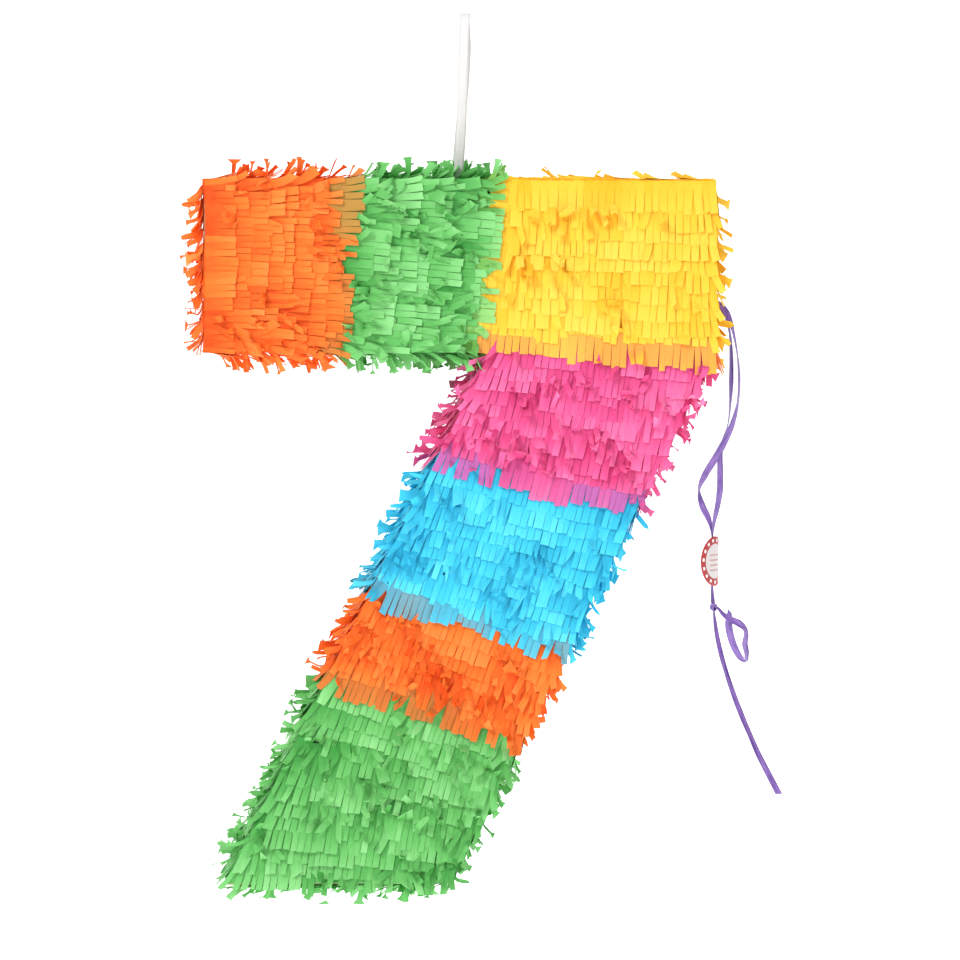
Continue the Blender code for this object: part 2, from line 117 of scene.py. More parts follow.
# ---------------------------------------------------------------- shader groups
def newGroup(name, inputs, outputs):
    group = bpy.data.node_groups.new(name, "ShaderNodeTree")
    for socketName, kind, value in inputs:
        socket = group.interface.new_socket(name=socketName, in_out="INPUT", socket_type=kind)
        socket.default_value = value
    for socketName, kind in outputs:
        group.interface.new_socket(name=socketName, in_out="OUTPUT", socket_type=kind)
    start = group.nodes.new("NodeGroupInput")
    end = group.nodes.new("NodeGroupOutput")
    return group, start, end


def addNode(tree, kind, **settings):
    node = tree.nodes.new(kind)
    for key, value in settings.items():
        setattr(node, key, value)
    return node


def mathNode(tree, operation, first, second=None, clamp=False):
    node = addNode(tree, "ShaderNodeMath", operation=operation, use_clamp=clamp)
    for socket, value in zip(node.inputs, (first, second)):
        if value is None:
            continue
        if isinstance(value, (int, float)):
            socket.default_value = value
        else:
            tree.links.new(value, socket)
    return node.outputs[0]


def mixColour(tree, share, first, second, blend="MIX"):
    node = addNode(tree, "ShaderNodeMix", data_type="RGBA", blend_type=blend)
    for socket, value in ((node.inputs[0], share), (node.inputs[6], first), (node.inputs[7], second)):
        if isinstance(value, (int, float)):
            socket.default_value = value
        elif isinstance(value, tuple):
            socket.default_value = (*value, 1.0)
        else:
            tree.links.new(value, socket)
    return node.outputs[2]


def noiseNode(tree, vector, scale, detail=3.0, roughness=0.55):
    node = addNode(tree, "ShaderNodeTexNoise")
    node.inputs["Detail"].default_value = detail
    node.inputs["Roughness"].default_value = roughness
    if isinstance(scale, (int, float)):
        node.inputs["Scale"].default_value = scale
    else:
        tree.links.new(scale, node.inputs["Scale"])
    tree.links.new(vector, node.inputs["Vector"])
    return node.outputs["Fac"]


def stretched(tree, vector, amounts):
    node = addNode(tree, "ShaderNodeMapping")
    node.inputs["Scale"].default_value = amounts
    tree.links.new(vector, node.inputs["Vector"])
    return node.outputs["Vector"]


def buildCrinkle():
    # soft folds and fine fibres of thin paper; the coordinates are in metres
    group, start, end = newGroup(
        "paperCrinkle",
        [("Vector", "NodeSocketVector", (0, 0, 0)), ("Fold Scale", "NodeSocketFloat", 260.0),
         ("Fibre Scale", "NodeSocketFloat", 1800.0)],
        [("Fold", "NodeSocketFloat"), ("Fibre", "NodeSocketFloat"), ("Height", "NodeSocketFloat")])
    fold = noiseNode(group, stretched(group, start.outputs["Vector"], (1.0, 0.35, 1.0)),
                     start.outputs["Fold Scale"], 2.0)
    ridge = mathNode(group, "ABSOLUTE", mathNode(group, "SUBTRACT", fold, 0.5))
    fibre = noiseNode(group, stretched(group, start.outputs["Vector"], (1.0, 0.12, 1.0)),
                      start.outputs["Fibre Scale"], 4.0, 0.7)
    height = mathNode(group, "ADD", mathNode(group, "MULTIPLY", ridge, -2.2),
                      mathNode(group, "MULTIPLY", fibre, 0.18))
    group.links.new(fold, end.inputs["Fold"])
    group.links.new(fibre, end.inputs["Fibre"])
    group.links.new(height, end.inputs["Height"])
    return group


def buildFlecks():
    # recycled board: pulp flecks, cloudy tone and the faint lines of the flutes beneath
    group, start, end = newGroup(
        "boardFlecks",
        [("Vector", "NodeSocketVector", (0, 0, 0)), ("Flute Pitch", "NodeSocketFloat", 0.0062)],
        [("Cloud", "NodeSocketFloat"), ("Fleck", "NodeSocketFloat"), ("Height", "NodeSocketFloat")])
    vector = start.outputs["Vector"]
    cloud = noiseNode(group, vector, 45.0, 3.0)
    fleck = noiseNode(group, stretched(group, vector, (1.0, 1.0, 0.4)), 1500.0, 2.0, 0.4)
    split = addNode(group, "ShaderNodeSeparateXYZ")
    group.links.new(vector, split.inputs[0])
    turns = mathNode(group, "DIVIDE", split.outputs["X"], start.outputs["Flute Pitch"])
    flute = mathNode(group, "SINE", mathNode(group, "MULTIPLY", turns, 2 * math.pi))
    height = mathNode(group, "ADD", mathNode(group, "MULTIPLY", flute, 0.25),
                      mathNode(group, "MULTIPLY", fleck, 0.5))
    group.links.new(cloud, end.inputs["Cloud"])
    group.links.new(fleck, end.inputs["Fleck"])
    group.links.new(height, end.inputs["Height"])
    return group


def buildWeave():
    # crossing threads of a narrow tape, from its flat coordinates in metres
    group, start, end = newGroup(
        "tapeWeave",
        [("Vector", "NodeSocketVector", (0, 0, 0)), ("Thread", "NodeSocketFloat", 0.00055)],
        [("Over", "NodeSocketFloat"), ("Height", "NodeSocketFloat")])
    split = addNode(group, "ShaderNodeSeparateXYZ")
    group.links.new(start.outputs["Vector"], split.inputs[0])
    waves = []
    for axis in ("X", "Y"):
        turns = mathNode(group, "DIVIDE", split.outputs[axis], start.outputs["Thread"])
        waves.append(mathNode(group, "SINE", mathNode(group, "MULTIPLY", turns, math.pi)))
    over = mathNode(group, "MULTIPLY", waves[0], waves[1])
    fuzz = noiseNode(group, start.outputs["Vector"], 2600.0, 2.0)
    height = mathNode(group, "ADD", over, mathNode(group, "MULTIPLY", fuzz, 0.5))
    group.links.new(over, end.inputs["Over"])
    group.links.new(height, end.inputs["Height"])
    return group


crinkleGroup, flecksGroup, weaveGroup = buildCrinkle(), buildFlecks(), buildWeave()


def startMaterial(name, roughness):
    mat = bpy.data.materials.new(name)
    mat.use_nodes = True
    tree = mat.node_tree
    shader = tree.nodes["Principled BSDF"]
    shader.inputs["Roughness"].default_value = roughness
    return mat, tree, shader


def placeGroup(tree, group, vector, **values):
    node = addNode(tree, "ShaderNodeGroup", node_tree=group)
    tree.links.new(vector, node.inputs["Vector"])
    for key, value in values.items():
        node.inputs[key].default_value = value
    return node


def addBump(tree, shader, height, strength, distance):
    bump = addNode(tree, "ShaderNodeBump")
    bump.inputs["Strength"].default_value = strength
    bump.inputs["Distance"].default_value = distance
    tree.links.new(height, bump.inputs["Height"])
    tree.links.new(bump.outputs["Normal"], shader.inputs["Normal"])


def tissueMaterial(name, deep, middle, pale, overNext):
    mat, tree, shader = startMaterial(name, 0.7)
    shader.inputs["Specular IOR Level"].default_value = 0.18
    flat = addNode(tree, "ShaderNodeUVMap", uv_map="paperFlat")
    marks = addNode(tree, "ShaderNodeAttribute", attribute_name="fringeMarks")
    split = addNode(tree, "ShaderNodeSeparateColor")
    tree.links.new(marks.outputs["Color"], split.inputs[0])
    toneWithShadeAndLight, reach, over = split.outputs[0], split.outputs[1], split.outputs[2]
    paper = placeGroup(tree, crinkleGroup, flat.outputs["UV"])
    # painted shade and light: each tab is darker towards its root under the strip above and paler towards its tip; the
    # tone mark adds painted shade in crumpled zones and painted light on lifted paper, besides random tone
    shadeLightAndTone = mathNode(tree, "ADD", mathNode(tree, "MULTIPLY", toneWithShadeAndLight, 0.62), mathNode(tree, "MULTIPLY", reach, 0.34))
    shadeLightAndTone = mathNode(tree, "ADD", shadeLightAndTone, mathNode(tree, "MULTIPLY", paper.outputs["Fold"], 0.3))
    shadeLightAndTone = mathNode(tree, "SUBTRACT", shadeLightAndTone, 0.12, clamp=True)
    low = mathNode(tree, "MULTIPLY", shadeLightAndTone, 2.0, clamp=True)
    high = mathNode(tree, "SUBTRACT", mathNode(tree, "MULTIPLY", shadeLightAndTone, 2.0), 1.0, clamp=True)
    colour = mixColour(tree, high, mixColour(tree, low, deep, middle), pale)
    colour = mixColour(tree, over, colour, overNext)
    fibre = mathNode(tree, "ADD", mathNode(tree, "MULTIPLY", paper.outputs["Fibre"], 0.16), 0.92)
    colour = mixColour(tree, 1.0, colour, fibre, "MULTIPLY")
    tree.links.new(colour, shader.inputs["Base Color"])
    rough = mathNode(tree, "ADD", mathNode(tree, "MULTIPLY", paper.outputs["Fibre"], 0.2), 0.55)
    tree.links.new(rough, shader.inputs["Roughness"])
    addBump(tree, shader, paper.outputs["Height"], 0.55, 0.0006)
    return mat


def boardMaterial(name, colour, fleckColour, strength):
    mat, tree, shader = startMaterial(name, 0.85)
    shader.inputs["Specular IOR Level"].default_value = 0.25
    place = addNode(tree, "ShaderNodeTexCoord")
    board = placeGroup(tree, flecksGroup, place.outputs["Object"])
    light = tuple(min(1.0, c * 1.22) for c in colour)
    base = mixColour(tree, board.outputs["Cloud"], colour, light)
    speck = mathNode(tree, "MULTIPLY", mathNode(tree, "SUBTRACT", board.outputs["Fleck"], 0.62), 5.0, clamp=True)
    base = mixColour(tree, speck, base, fleckColour)
    tree.links.new(base, shader.inputs["Base Color"])
    rough = mathNode(tree, "ADD", mathNode(tree, "MULTIPLY", board.outputs["Cloud"], 0.2), 0.7)
    tree.links.new(rough, shader.inputs["Roughness"])
    addBump(tree, shader, board.outputs["Height"], strength, 0.0004)
    return mat


def wovenMaterial(name, colour, shadow):
    mat, tree, shader = startMaterial(name, 0.75)
    shader.inputs["Sheen Weight"].default_value = 0.25
    flat = addNode(tree, "ShaderNodeUVMap", uv_map="tapeFlat")
    weave = placeGroup(tree, weaveGroup, flat.outputs["UV"])
    share = mathNode(tree, "ADD", mathNode(tree, "MULTIPLY", weave.outputs["Over"], 0.4), 0.55, clamp=True)
    tree.links.new(mixColour(tree, share, shadow, colour), shader.inputs["Base Color"])
    rough = mathNode(tree, "ADD", mathNode(tree, "MULTIPLY", weave.outputs["Over"], 0.08), 0.72)
    tree.links.new(rough, shader.inputs["Roughness"])
    addBump(tree, shader, weave.outputs["Height"], 0.6, 0.0002)
    return mat


def threadMaterial(name, colour, shadow):
    # for tied tape, where the weave has no flat coordinates
    mat, tree, shader = startMaterial(name, 0.8)
    place = addNode(tree, "ShaderNodeTexCoord")
    weave = placeGroup(tree, weaveGroup, place.outputs["Object"])
    share = mathNode(tree, "ADD", mathNode(tree, "MULTIPLY", weave.outputs["Over"], 0.3), 0.6, clamp=True)
    tree.links.new(mixColour(tree, share, shadow, colour), shader.inputs["Base Color"])
    addBump(tree, shader, weave.outputs["Height"], 0.5, 0.0002)
    return mat


def satinMaterial(name, deep, sheenColour, mapName=None):
    # curling ribbon: fine ribs along its length and a painted sheen, lighter bands painted into its colour
    mat, tree, shader = startMaterial(name, 0.3)
    shader.inputs["Coat Weight"].default_value = 0.25
    shader.inputs["Coat Roughness"].default_value = 0.25
    if mapName:
        source = addNode(tree, "ShaderNodeUVMap", uv_map=mapName).outputs["UV"]
    else:
        source = addNode(tree, "ShaderNodeTexCoord").outputs["Object"]
    split = addNode(tree, "ShaderNodeSeparateXYZ")
    tree.links.new(source, split.inputs[0])
    rib = mathNode(tree, "SINE", mathNode(tree, "MULTIPLY", split.outputs["X"], 2 * math.pi / 0.00045))
    cloud = noiseNode(tree, stretched(tree, source, (3.0, 0.6, 1.0)), 120.0, 2.0)
    share = mathNode(tree, "ADD", mathNode(tree, "SUBTRACT", mathNode(tree, "MULTIPLY", cloud, 2.2), 0.65),
                     mathNode(tree, "MULTIPLY", rib, 0.10), clamp=True)
    # painted sheen: noise bands mix the lighter second colour into the ribbon's own colour
    tree.links.new(mixColour(tree, share, deep, sheenColour), shader.inputs["Base Color"])
    rough = mathNode(tree, "ADD", mathNode(tree, "MULTIPLY", cloud, 0.25), 0.18)
    tree.links.new(rough, shader.inputs["Roughness"])
    addBump(tree, shader, rib, 0.35, 0.00008)
    return mat


def tagMaterial(name, look):
    # pale round card with a checked rim, from flat coordinates measured in tag radii
    mat, tree, shader = startMaterial(name, 0.4)
    flat = addNode(tree, "ShaderNodeUVMap", uv_map="tagFlat")
    split = addNode(tree, "ShaderNodeSeparateXYZ")
    tree.links.new(flat.outputs["UV"], split.inputs[0])
    across = mathNode(tree, "SUBTRACT", split.outputs["X"], 0.5)
    upward = mathNode(tree, "SUBTRACT", split.outputs["Y"], 0.5)
    radius = mathNode(tree, "SQRT", mathNode(tree, "ADD", mathNode(tree, "MULTIPLY", across, across),
                                             mathNode(tree, "MULTIPLY", upward, upward)))
    angle = mathNode(tree, "ARCTAN2", upward, across)
    wave = mathNode(tree, "SINE", mathNode(tree, "MULTIPLY", angle, look["rimBlocks"]))
    block = mathNode(tree, "GREATER_THAN", wave, look["blockShare"])
    inRim = mathNode(tree, "GREATER_THAN", radius, look["rimStart"])
    inBlock = mathNode(tree, "MULTIPLY", mathNode(tree, "GREATER_THAN", radius, look["blockStart"]),
                       mathNode(tree, "LESS_THAN", radius, look["blockEnd"]))
    cloud = noiseNode(tree, flat.outputs["UV"], 14.0, 3.0)
    centre = mixColour(tree, cloud, look["centre"], look["centreShade"])
    rule = mathNode(tree, "SINE", mathNode(tree, "MULTIPLY", upward, look["ruleTurns"]))
    inRule = mathNode(tree, "MULTIPLY", mathNode(tree, "GREATER_THAN", rule, 0.55),
                      mathNode(tree, "LESS_THAN", mathNode(tree, "MAXIMUM", mathNode(tree, "ABSOLUTE", across),
                                                           mathNode(tree, "ABSOLUTE", upward)), look["ruleReach"]))
    centre = mixColour(tree, mathNode(tree, "MULTIPLY", inRule, 0.55), centre, look["red"])
    rim = mixColour(tree, mathNode(tree, "MULTIPLY", block, inBlock), look["red"], look["white"])
    tree.links.new(mixColour(tree, inRim, centre, rim), shader.inputs["Base Color"])
    rough = mathNode(tree, "ADD", mathNode(tree, "MULTIPLY", cloud, 0.2), 0.3)
    tree.links.new(rough, shader.inputs["Roughness"])
    addBump(tree, shader, noiseNode(tree, flat.outputs["UV"], 60.0, 2.0), 0.15, 0.0003)
    return mat


# Each paper's colours from deep to pale: besides random tone, the deep colour is painted shade at tab roots and in
# crumpled zones, the pale one painted light on tab tips and lifted paper
tissues = {
    "orange": {"deep": (0.74, 0.070, 0.007), "middle": (0.98, 0.185, 0.024), "pale": (1.0, 0.29, 0.062)},
    "green": {"deep": (0.040, 0.29, 0.044), "middle": (0.145, 0.51, 0.13), "pale": (0.29, 0.70, 0.26)},
    "yellow": {"deep": (0.94, 0.47, 0.017), "middle": (0.985, 0.59, 0.047), "pale": (1.0, 0.67, 0.088)},
    "pink": {"deep": (0.56, 0.022, 0.14), "middle": (0.84, 0.105, 0.305), "pale": (0.96, 0.24, 0.49)},
    "blue": {"deep": (0.014, 0.34, 0.57), "middle": (0.052, 0.60, 0.84), "pale": (0.12, 0.76, 0.98)},
}
cardMat = boardMaterial("brownBoard", (0.40, 0.26, 0.145), (0.24, 0.15, 0.08), 0.35)
gummedMat = boardMaterial("gummedTape", (0.55, 0.41, 0.25), (0.42, 0.30, 0.17), 0.15)
tapeMat = wovenMaterial("whiteTape", (0.86, 0.84, 0.835), (0.66, 0.645, 0.64))
tiedTapeMat = threadMaterial("tiedTape", (0.80, 0.785, 0.775), (0.60, 0.59, 0.585))
# the second colour of each satin is its painted sheen
ribbonMat = satinMaterial("purpleSatin", (0.115, 0.052, 0.30), (0.38, 0.22, 0.64), "ribbonFlat")
knotMat = satinMaterial("purpleKnot", (0.115, 0.052, 0.30), (0.38, 0.22, 0.64))
print("materials ready")


# ---------------------------------------------------------------- fringe
fringe = {
    "tabWidth": 0.0047,      # between two cuts
    "tabLength": 0.0172,
    "rowPitch": 0.0106,
    "marginUp": 0.0140,      # the uncut, pasted part of each strip
    "rootHeight": 0.0016,    # a strip's lower edge, above the board
    "marginHeight": 0.0008,
    "restSlope": 0.044,      # a flat tab rises this much over the strip below
    "tuckUnder": 0.007,      # a colour starts this far under the one above
    "steps": 6,              # lengths of paper in each tab
    "thickness": 0.00012,
}


def sheetNoise(seed):
    # smooth random numbers over the surface, so that neighbouring tabs share a tendency
    rng = np.random.default_rng(seed)
    table = rng.uniform(-1.0, 1.0, (64, 64))

    def read(x, y):
        i, j = np.floor(x).astype(int), np.floor(y).astype(int)
        u, v = x - i, y - j
        u, v = u * u * (3 - 2 * u), v * v * (3 - 2 * v)
        a, b = table[i % 64, j % 64], table[(i + 1) % 64, j % 64]
        c, d = table[i % 64, (j + 1) % 64], table[(i + 1) % 64, (j + 1) % 64]
        return (a * (1 - u) + b * u) * (1 - v) + (c * (1 - u) + d * u) * v
    return read


def sharpenRims(mesh):
    # cut edges stay crisp, so that a flat tab is lit as a flat one
    corners = np.empty(len(mesh.loops), np.int32)
    mesh.loops.foreach_get("edge_index", corners)
    used = np.bincount(corners, minlength=len(mesh.edges))
    sharp = mesh.attributes.new("sharp_edge", "BOOLEAN", "EDGE")
    sharp.data.foreach_set("value", used < 2)


class PaperStore:
    # gathers the tabs of one colour
    def __init__(self):
        self.verts, self.faces, self.marks, self.flats, self.count = [], [], [], [], 0

    def add(self, grid, marks, flats):
        # grid: tabs x rows x columns x 3
        tabs, rows, columns = grid.shape[:3]
        first = self.count + np.arange(tabs)[:, None, None] * rows * columns
        i = np.arange(rows - 1)[None, :, None] * columns
        j = np.arange(columns - 1)[None, None, :]
        a = first + i + j
        self.faces.append(np.stack([a, a + 1, a + 1 + columns, a + columns], -1).reshape(-1, 4))
        self.verts.append(grid.reshape(-1, 3))
        self.marks.append(marks.reshape(-1, 3))
        self.flats.append(flats.reshape(-1, 2))
        self.count += tabs * rows * columns

    def build(self, name, material, body):
        verts, faces = np.concatenate(self.verts), np.concatenate(self.faces)
        marks, flats = np.concatenate(self.marks), np.concatenate(self.flats)
        mesh = bpy.data.meshes.new(name)
        mesh.vertices.add(len(verts))
        mesh.vertices.foreach_set("co", verts.astype(np.float32).ravel())
        mesh.loops.add(faces.size)
        mesh.loops.foreach_set("vertex_index", faces.astype(np.int32).ravel())
        mesh.polygons.add(len(faces))
        mesh.polygons.foreach_set("loop_start", np.arange(0, faces.size, 4, dtype=np.int32))
        mesh.update(calc_edges=True)
        mesh.validate()
        sharpenRims(mesh)
        colours = mesh.color_attributes.new("fringeMarks", "FLOAT_COLOR", "POINT")
        colours.data.foreach_set("color", np.hstack([marks, np.ones((len(marks), 1))]).astype(np.float32).ravel())
        flatMap = mesh.uv_layers.new(name="paperFlat")
        flatMap.uv.foreach_set("vector", flats[faces.ravel()].astype(np.float32).ravel())
        mesh.materials.append(material)
        obj = bpy.data.objects.new(name, mesh)
        parts.objects.link(obj)
        thicken(obj, fringe["thickness"])
        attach(obj, body)
        return obj


def runsOf(rng, count, shortest, longest):
    # which run of neighbours each tab belongs to
    runs = []
    while len(runs) < count:
        runs += [len(runs)] * int(rng.integers(shortest, longest + 1))
    return np.array(runs[:count])


def layRow(store, rng, noise, row):
    # one strip of paper between two points: its pasted margin and its hanging tabs
    start, end = np.array(row["start"]), np.array(row["end"])
    normal, run = np.array(row["normal"]), np.array(row["run"])
    span = float(np.linalg.norm(end - start))
    count = max(1, round(span / (fringe["tabWidth"] * row.get("broad", 1.0))))
    across = (end - start) / span
    widths = rng.uniform(0.78, 1.22, count) * np.where(rng.random(count) < 0.07, 1.7, 1.0)
    edges = np.concatenate([[0.0], np.cumsum(widths)]) * span / widths.sum()
    middle, half = (edges[1:] + edges[:-1]) / 2, (edges[1:] - edges[:-1]) / 2
    if "within" in row:
        keep = row["within"](start + across * middle[:, None])
        middle, half, count = middle[keep], half[keep], int(keep.sum())
        if count == 0:
            return
    steps, lift = fringe["steps"], row["lift"]
    runs = runsOf(rng, count, 2, 7)

    def perRun(values):
        return values[runs]

    placeU = start @ (0.9, 1.7, 0.4) / 0.03 + middle / 0.030
    placeV = start @ (0.3, 0.8, 1.1) / 0.024 + np.zeros(count)
    ruffle = noise(placeU, placeV) + 0.4 * perRun(rng.normal(0, 1, count))
    drift = noise(placeU + 17.3, placeV + 5.1)
    near = np.minimum(middle, span - middle) < 0.010
    wildness = (lift["wildShare"] + lift["ruffle"] * ruffle + lift["rimShare"] * near) * row.get("calm", 1.0)
    shown = (middle > row.get("calmStart", 0.0)) & (middle < span - row.get("calmEnd", 0.0))
    wild = (rng.random(count) < wildness) & shown
    sort = rng.random(count)
    swung = wild & (sort < 0.22)
    folded = wild & (sort > lift.get("foldFrom", 0.72))

    # flat tabs keep together in runs; the others are lifted, bent or swung aside
    flatPitch = (np.abs(perRun(rng.normal(0, lift["spread"], count))) + rng.normal(0, 1.1, count)) * shown
    slope = 0.085 if row.get("last") else fringe["restSlope"]
    pitch = np.radians(lift["rest"] + flatPitch + (2.5 if row.get("last") else 0.0))
    rise = np.radians(lift["wildLift"] * rng.uniform(0.25, 1.0, count))
    rise = np.where(swung, 0.2 * rise, rise) * wild
    yaw = np.radians(perRun(rng.normal(0, 1.3, count)) + rng.normal(0, 0.8, count))
    yaw += wild * np.radians(lift["yaw"]) * (0.5 * drift + rng.normal(0, 0.75, count)) * np.where(swung, 2.1, 1.0)
    leaning = np.abs(rng.normal(0, 1, count)) * np.radians(lift.get("flare", 0.0)) * np.exp(-np.minimum(middle, span - middle) / 0.007)
    yaw += leaning * np.sign(middle - span / 2) * shown
    curl = wild * np.radians(lift["curl"]) * rng.normal(-0.25, 0.9, count)
    twist = wild * np.radians(lift["twist"]) * rng.normal(0.0, 0.9, count) + np.radians(rng.normal(0, 2.5, count))
    kinkAt = rng.integers(2, steps - 1, count)
    kink = folded * np.radians(rng.uniform(45, 135, count)) * np.sign(rng.normal(0.4, 1, count))
    clears = rng.uniform(0.05, 0.38, count)          # a lifted tab first runs out from under the strip above
    cup = half * np.where(wild, rng.uniform(-0.35, 0.5, count), rng.uniform(-0.02, 0.12, count))
    lengths = 1.0 + perRun(rng.normal(0, 0.08, count)) + rng.normal(0, 0.025, count)
    if "patchShort" in row:
        lengths -= row["patchShort"] * (noise(placeU * 0.7 + 9.0, placeV) > 0.05)
    if row.get("last"):
        lengths += rng.normal(0, 0.05, count) + 0.14 * noise(placeU * 1.3 + 5.0, placeV)
    length = fringe["tabLength"] * lengths * row.get("lengthShare", 1.0)
    columns = np.array([-1.0, 0.0, 1.0])

    grid = np.zeros((count, steps + 4, 3, 3))       # tab, line of points, column, place on the strip
    top = -max(0.0006, min(fringe["marginUp"], row.get("room", 1.0)))
    lows = [top, min(top * 0.5, -0.0005), -0.0003]
    heights = [fringe["marginHeight"], fringe["marginHeight"] + 0.0003, fringe["rootHeight"]]
    for k in range(3):
        grid[:, k, :, 0] = middle[:, None] + half[:, None] * columns
        grid[:, k, :, 1] = lows[k]
        grid[:, k, :, 2] = heights[k]
    if -top < 0.008:                                # the first strip of a side laps unevenly over the corner
        for c in range(3):
            grid[:, 0, c, 1] -= 0.0020 * np.clip(noise(placeU * 3.0 + 0.3 * c, placeV + 40.0), -0.4, 1.0)
    wrinkle = noise(placeU * 2.1 + 3.0, placeV * 3.0)
    grid[:, 1, 1, 2] += 0.0005 * np.clip(wrinkle, 0, 1) * (top < -0.004)
    centre = np.stack([middle, np.zeros(count), np.full(count, fringe["rootHeight"])], -1)
    narrowing = rng.uniform(0.03, 0.10, count)
    for k in range(steps + 1):
        t = k / steps
        risen = np.clip((t - clears) / 0.35, 0, 1)
        pitchNow = pitch + rise * risen + curl * t + kink * (k > kinkAt)
        yawNow = yaw * (0.25 + 0.75 * t)
        heading = np.stack([np.sin(yawNow) * np.cos(pitchNow), np.cos(yawNow) * np.cos(pitchNow),
                            np.sin(pitchNow)], -1)
        level = np.stack([np.cos(yawNow), -np.sin(yawNow), np.zeros(count)], -1)
        above = np.cross(level, heading)
        turned = twist * t ** lift.get("twistPower", 1.2)
        side = level * np.cos(turned)[:, None] + above * np.sin(turned)[:, None]
        face = above * np.cos(turned)[:, None] - level * np.sin(turned)[:, None]
        if k:
            centre = centre + heading * (length / steps)[:, None]
        narrow = 0.985 - narrowing * t
        for c in range(3):
            point = centre + side * (columns[c] * half * narrow)[:, None]
            if c == 1:
                point = point + face * (cup * min(1.0, 2.5 * t))[:, None]
            grid[:, 3 + k, c] = point
    slant = np.where(wild, 0.09, 0.012) * rng.normal(0, 1, count) * length
    grid[:, -1, 0, 1] += slant
    grid[:, -1, 2, 1] -= slant
    # paper rests on the strip below and never sinks into it
    rest = fringe["rootHeight"] - 0.0001 + np.clip(grid[..., 1], 0, 0.03) * slope
    buried = grid[..., 2] < rest
    buried[:, :3] = False
    grid[..., 2] = np.where(buried, rest + 0.08 * (rest - grid[..., 2]), grid[..., 2])
    pressed = np.minimum(grid[..., 2], 0.0007 + 0.35 * grid[..., 2])
    grid[..., 2] = np.where(shown[:, None, None], grid[..., 2], pressed)     # flat under the next colour
    grid[..., 1] += (0.0011 * noise(placeU * 0.8, placeV + 21.0) * row.get("sway", 1.0))[:, None, None]
    if "cutAt" in row:
        grid[..., 1] = np.minimum(grid[..., 1], row["cutAt"])

    reach = np.zeros(grid.shape[:3])
    reach[:, 3:] = (np.arange(steps + 1) / steps)[None, :, None]
    lifted = np.clip((grid[..., 2] - 0.0040) / 0.007, 0, 1)
    toneWithCreaseShade = 0.47 + perRun(rng.normal(0, 0.19, count)) + rng.normal(0, 0.11, count) + 0.14 * drift
    # painted shade: paper in crumpled, ruffled zones is made darker
    toneWithCreaseShade -= 0.28 * np.clip(ruffle, 0, 1)
    # painted light: paper lifted away from the surface is made paler
    toneWithShadeAndLight = np.clip(toneWithCreaseShade[:, None, None] + 0.15 * lifted, 0, 1)
    over = np.zeros(grid.shape[:3])
    if row.get("last"):
        passed = np.clip((grid[..., 1] + 0.010) / 0.001, 0, 1)
        patchy = np.clip(0.62 + 0.9 * noise(placeU * 0.7 + 9.0, placeV) + perRun(rng.normal(0, 0.3, count)), 0.1, 1)
        over = passed * np.clip(1.0 - 1.2 * lifted, 0, 1) * row["last"] * patchy[:, None, None]
    marks = np.stack([toneWithShadeAndLight, reach, over], -1)
    flats = grid[..., :2] * 1.0
    flats[..., 0] -= middle[:, None, None]
    flats = flats + rng.uniform(0, 3, (count, 1, 1, 2))
    runs3 = np.repeat(run[None, :], count, 0)
    for edgeRun, away in ((row.get("runStart"), middle), (row.get("runEnd"), span - middle)):
        if edgeRun is not None:
            share = (np.clip(1 - away / 0.020, 0, 1) * 0.85)[:, None]
            runs3 = runs3 * (1 - share) + np.array(edgeRun) * share
    runs3 /= np.linalg.norm(runs3, axis=1)[:, None]
    world = start + grid[..., :1] * across + grid[..., 1:2] * runs3[:, None, None] + grid[..., 2:3] * normal
    if "slit" in row:
        row["slit"](world, start + across * middle[:, None])
    soft, spare = halfDepth + 0.0115, 0.0055         # a tab standing further out than this leans back
    depth = np.abs(world[..., 1])
    bent = soft + spare * np.tanh((depth - soft) / spare)
    world[..., 1] = np.sign(world[..., 1]) * np.where(depth > soft, bent, depth)
    store.add(world, marks, flats)


def along(points, share):
    # a place and a heading on a broken line in the front plane
    legs = [(Vector(a), Vector(b)) for a, b in zip(points, points[1:])]
    total = sum((b - a).length for a, b in legs)
    target = share * total
    for i, (a, b) in enumerate(legs):
        legLength = (b - a).length
        if target <= legLength or i == len(legs) - 1:
            heading = (b - a).normalized()
            return a + heading * target, heading
        target -= legLength


def lineLength(points):
    return sum((Vector(b) - Vector(a)).length for a, b in zip(points, points[1:]))


def outwardOf(heading):
    return Vector((-heading.y, heading.x))


def inSpace(point, y):
    return (point.x, y, point.y)


lifts = {
    "face": {"rest": 2.8, "spread": 3.6, "wildShare": 0.24, "ruffle": 0.48, "rimShare": 0.22, "wildLift": 66,
             "yaw": 22, "curl": 36, "twist": 38, "flare": 26},
    "calm": {"rest": 2.6, "spread": 3.2, "wildShare": 0.18, "ruffle": 0.46, "rimShare": 0.18, "wildLift": 58,
             "yaw": 20, "curl": 34, "twist": 34, "flare": 24},
    "crumpled": {"rest": 3.2, "spread": 4.6, "wildShare": 0.36, "ruffle": 0.55, "rimShare": 0.20, "wildLift": 72,
                 "yaw": 34, "curl": 42, "twist": 48, "foldFrom": 0.60, "flare": 30},
    "side": {"rest": 5, "spread": 7, "wildShare": 0.42, "ruffle": 0.30, "rimShare": 0.12, "wildLift": 68,
             "yaw": 24, "curl": 24, "twist": 58, "twistPower": 0.22, "foldFrom": 0.92},
    "crown": {"rest": 6, "spread": 8, "wildShare": 0.40, "ruffle": 0.34, "rimShare": 0.0, "wildLift": 70,
              "yaw": 28, "curl": 22, "twist": 52, "twistPower": 0.22, "foldFrom": 0.92},
    "top": {"rest": 2, "spread": 2.0, "wildShare": 0.10, "ruffle": 0.16, "rimShare": 0.03, "wildLift": 30,
            "yaw": 22, "curl": 18, "twist": 60, "twistPower": 0.25, "foldFrom": 0.9},
}


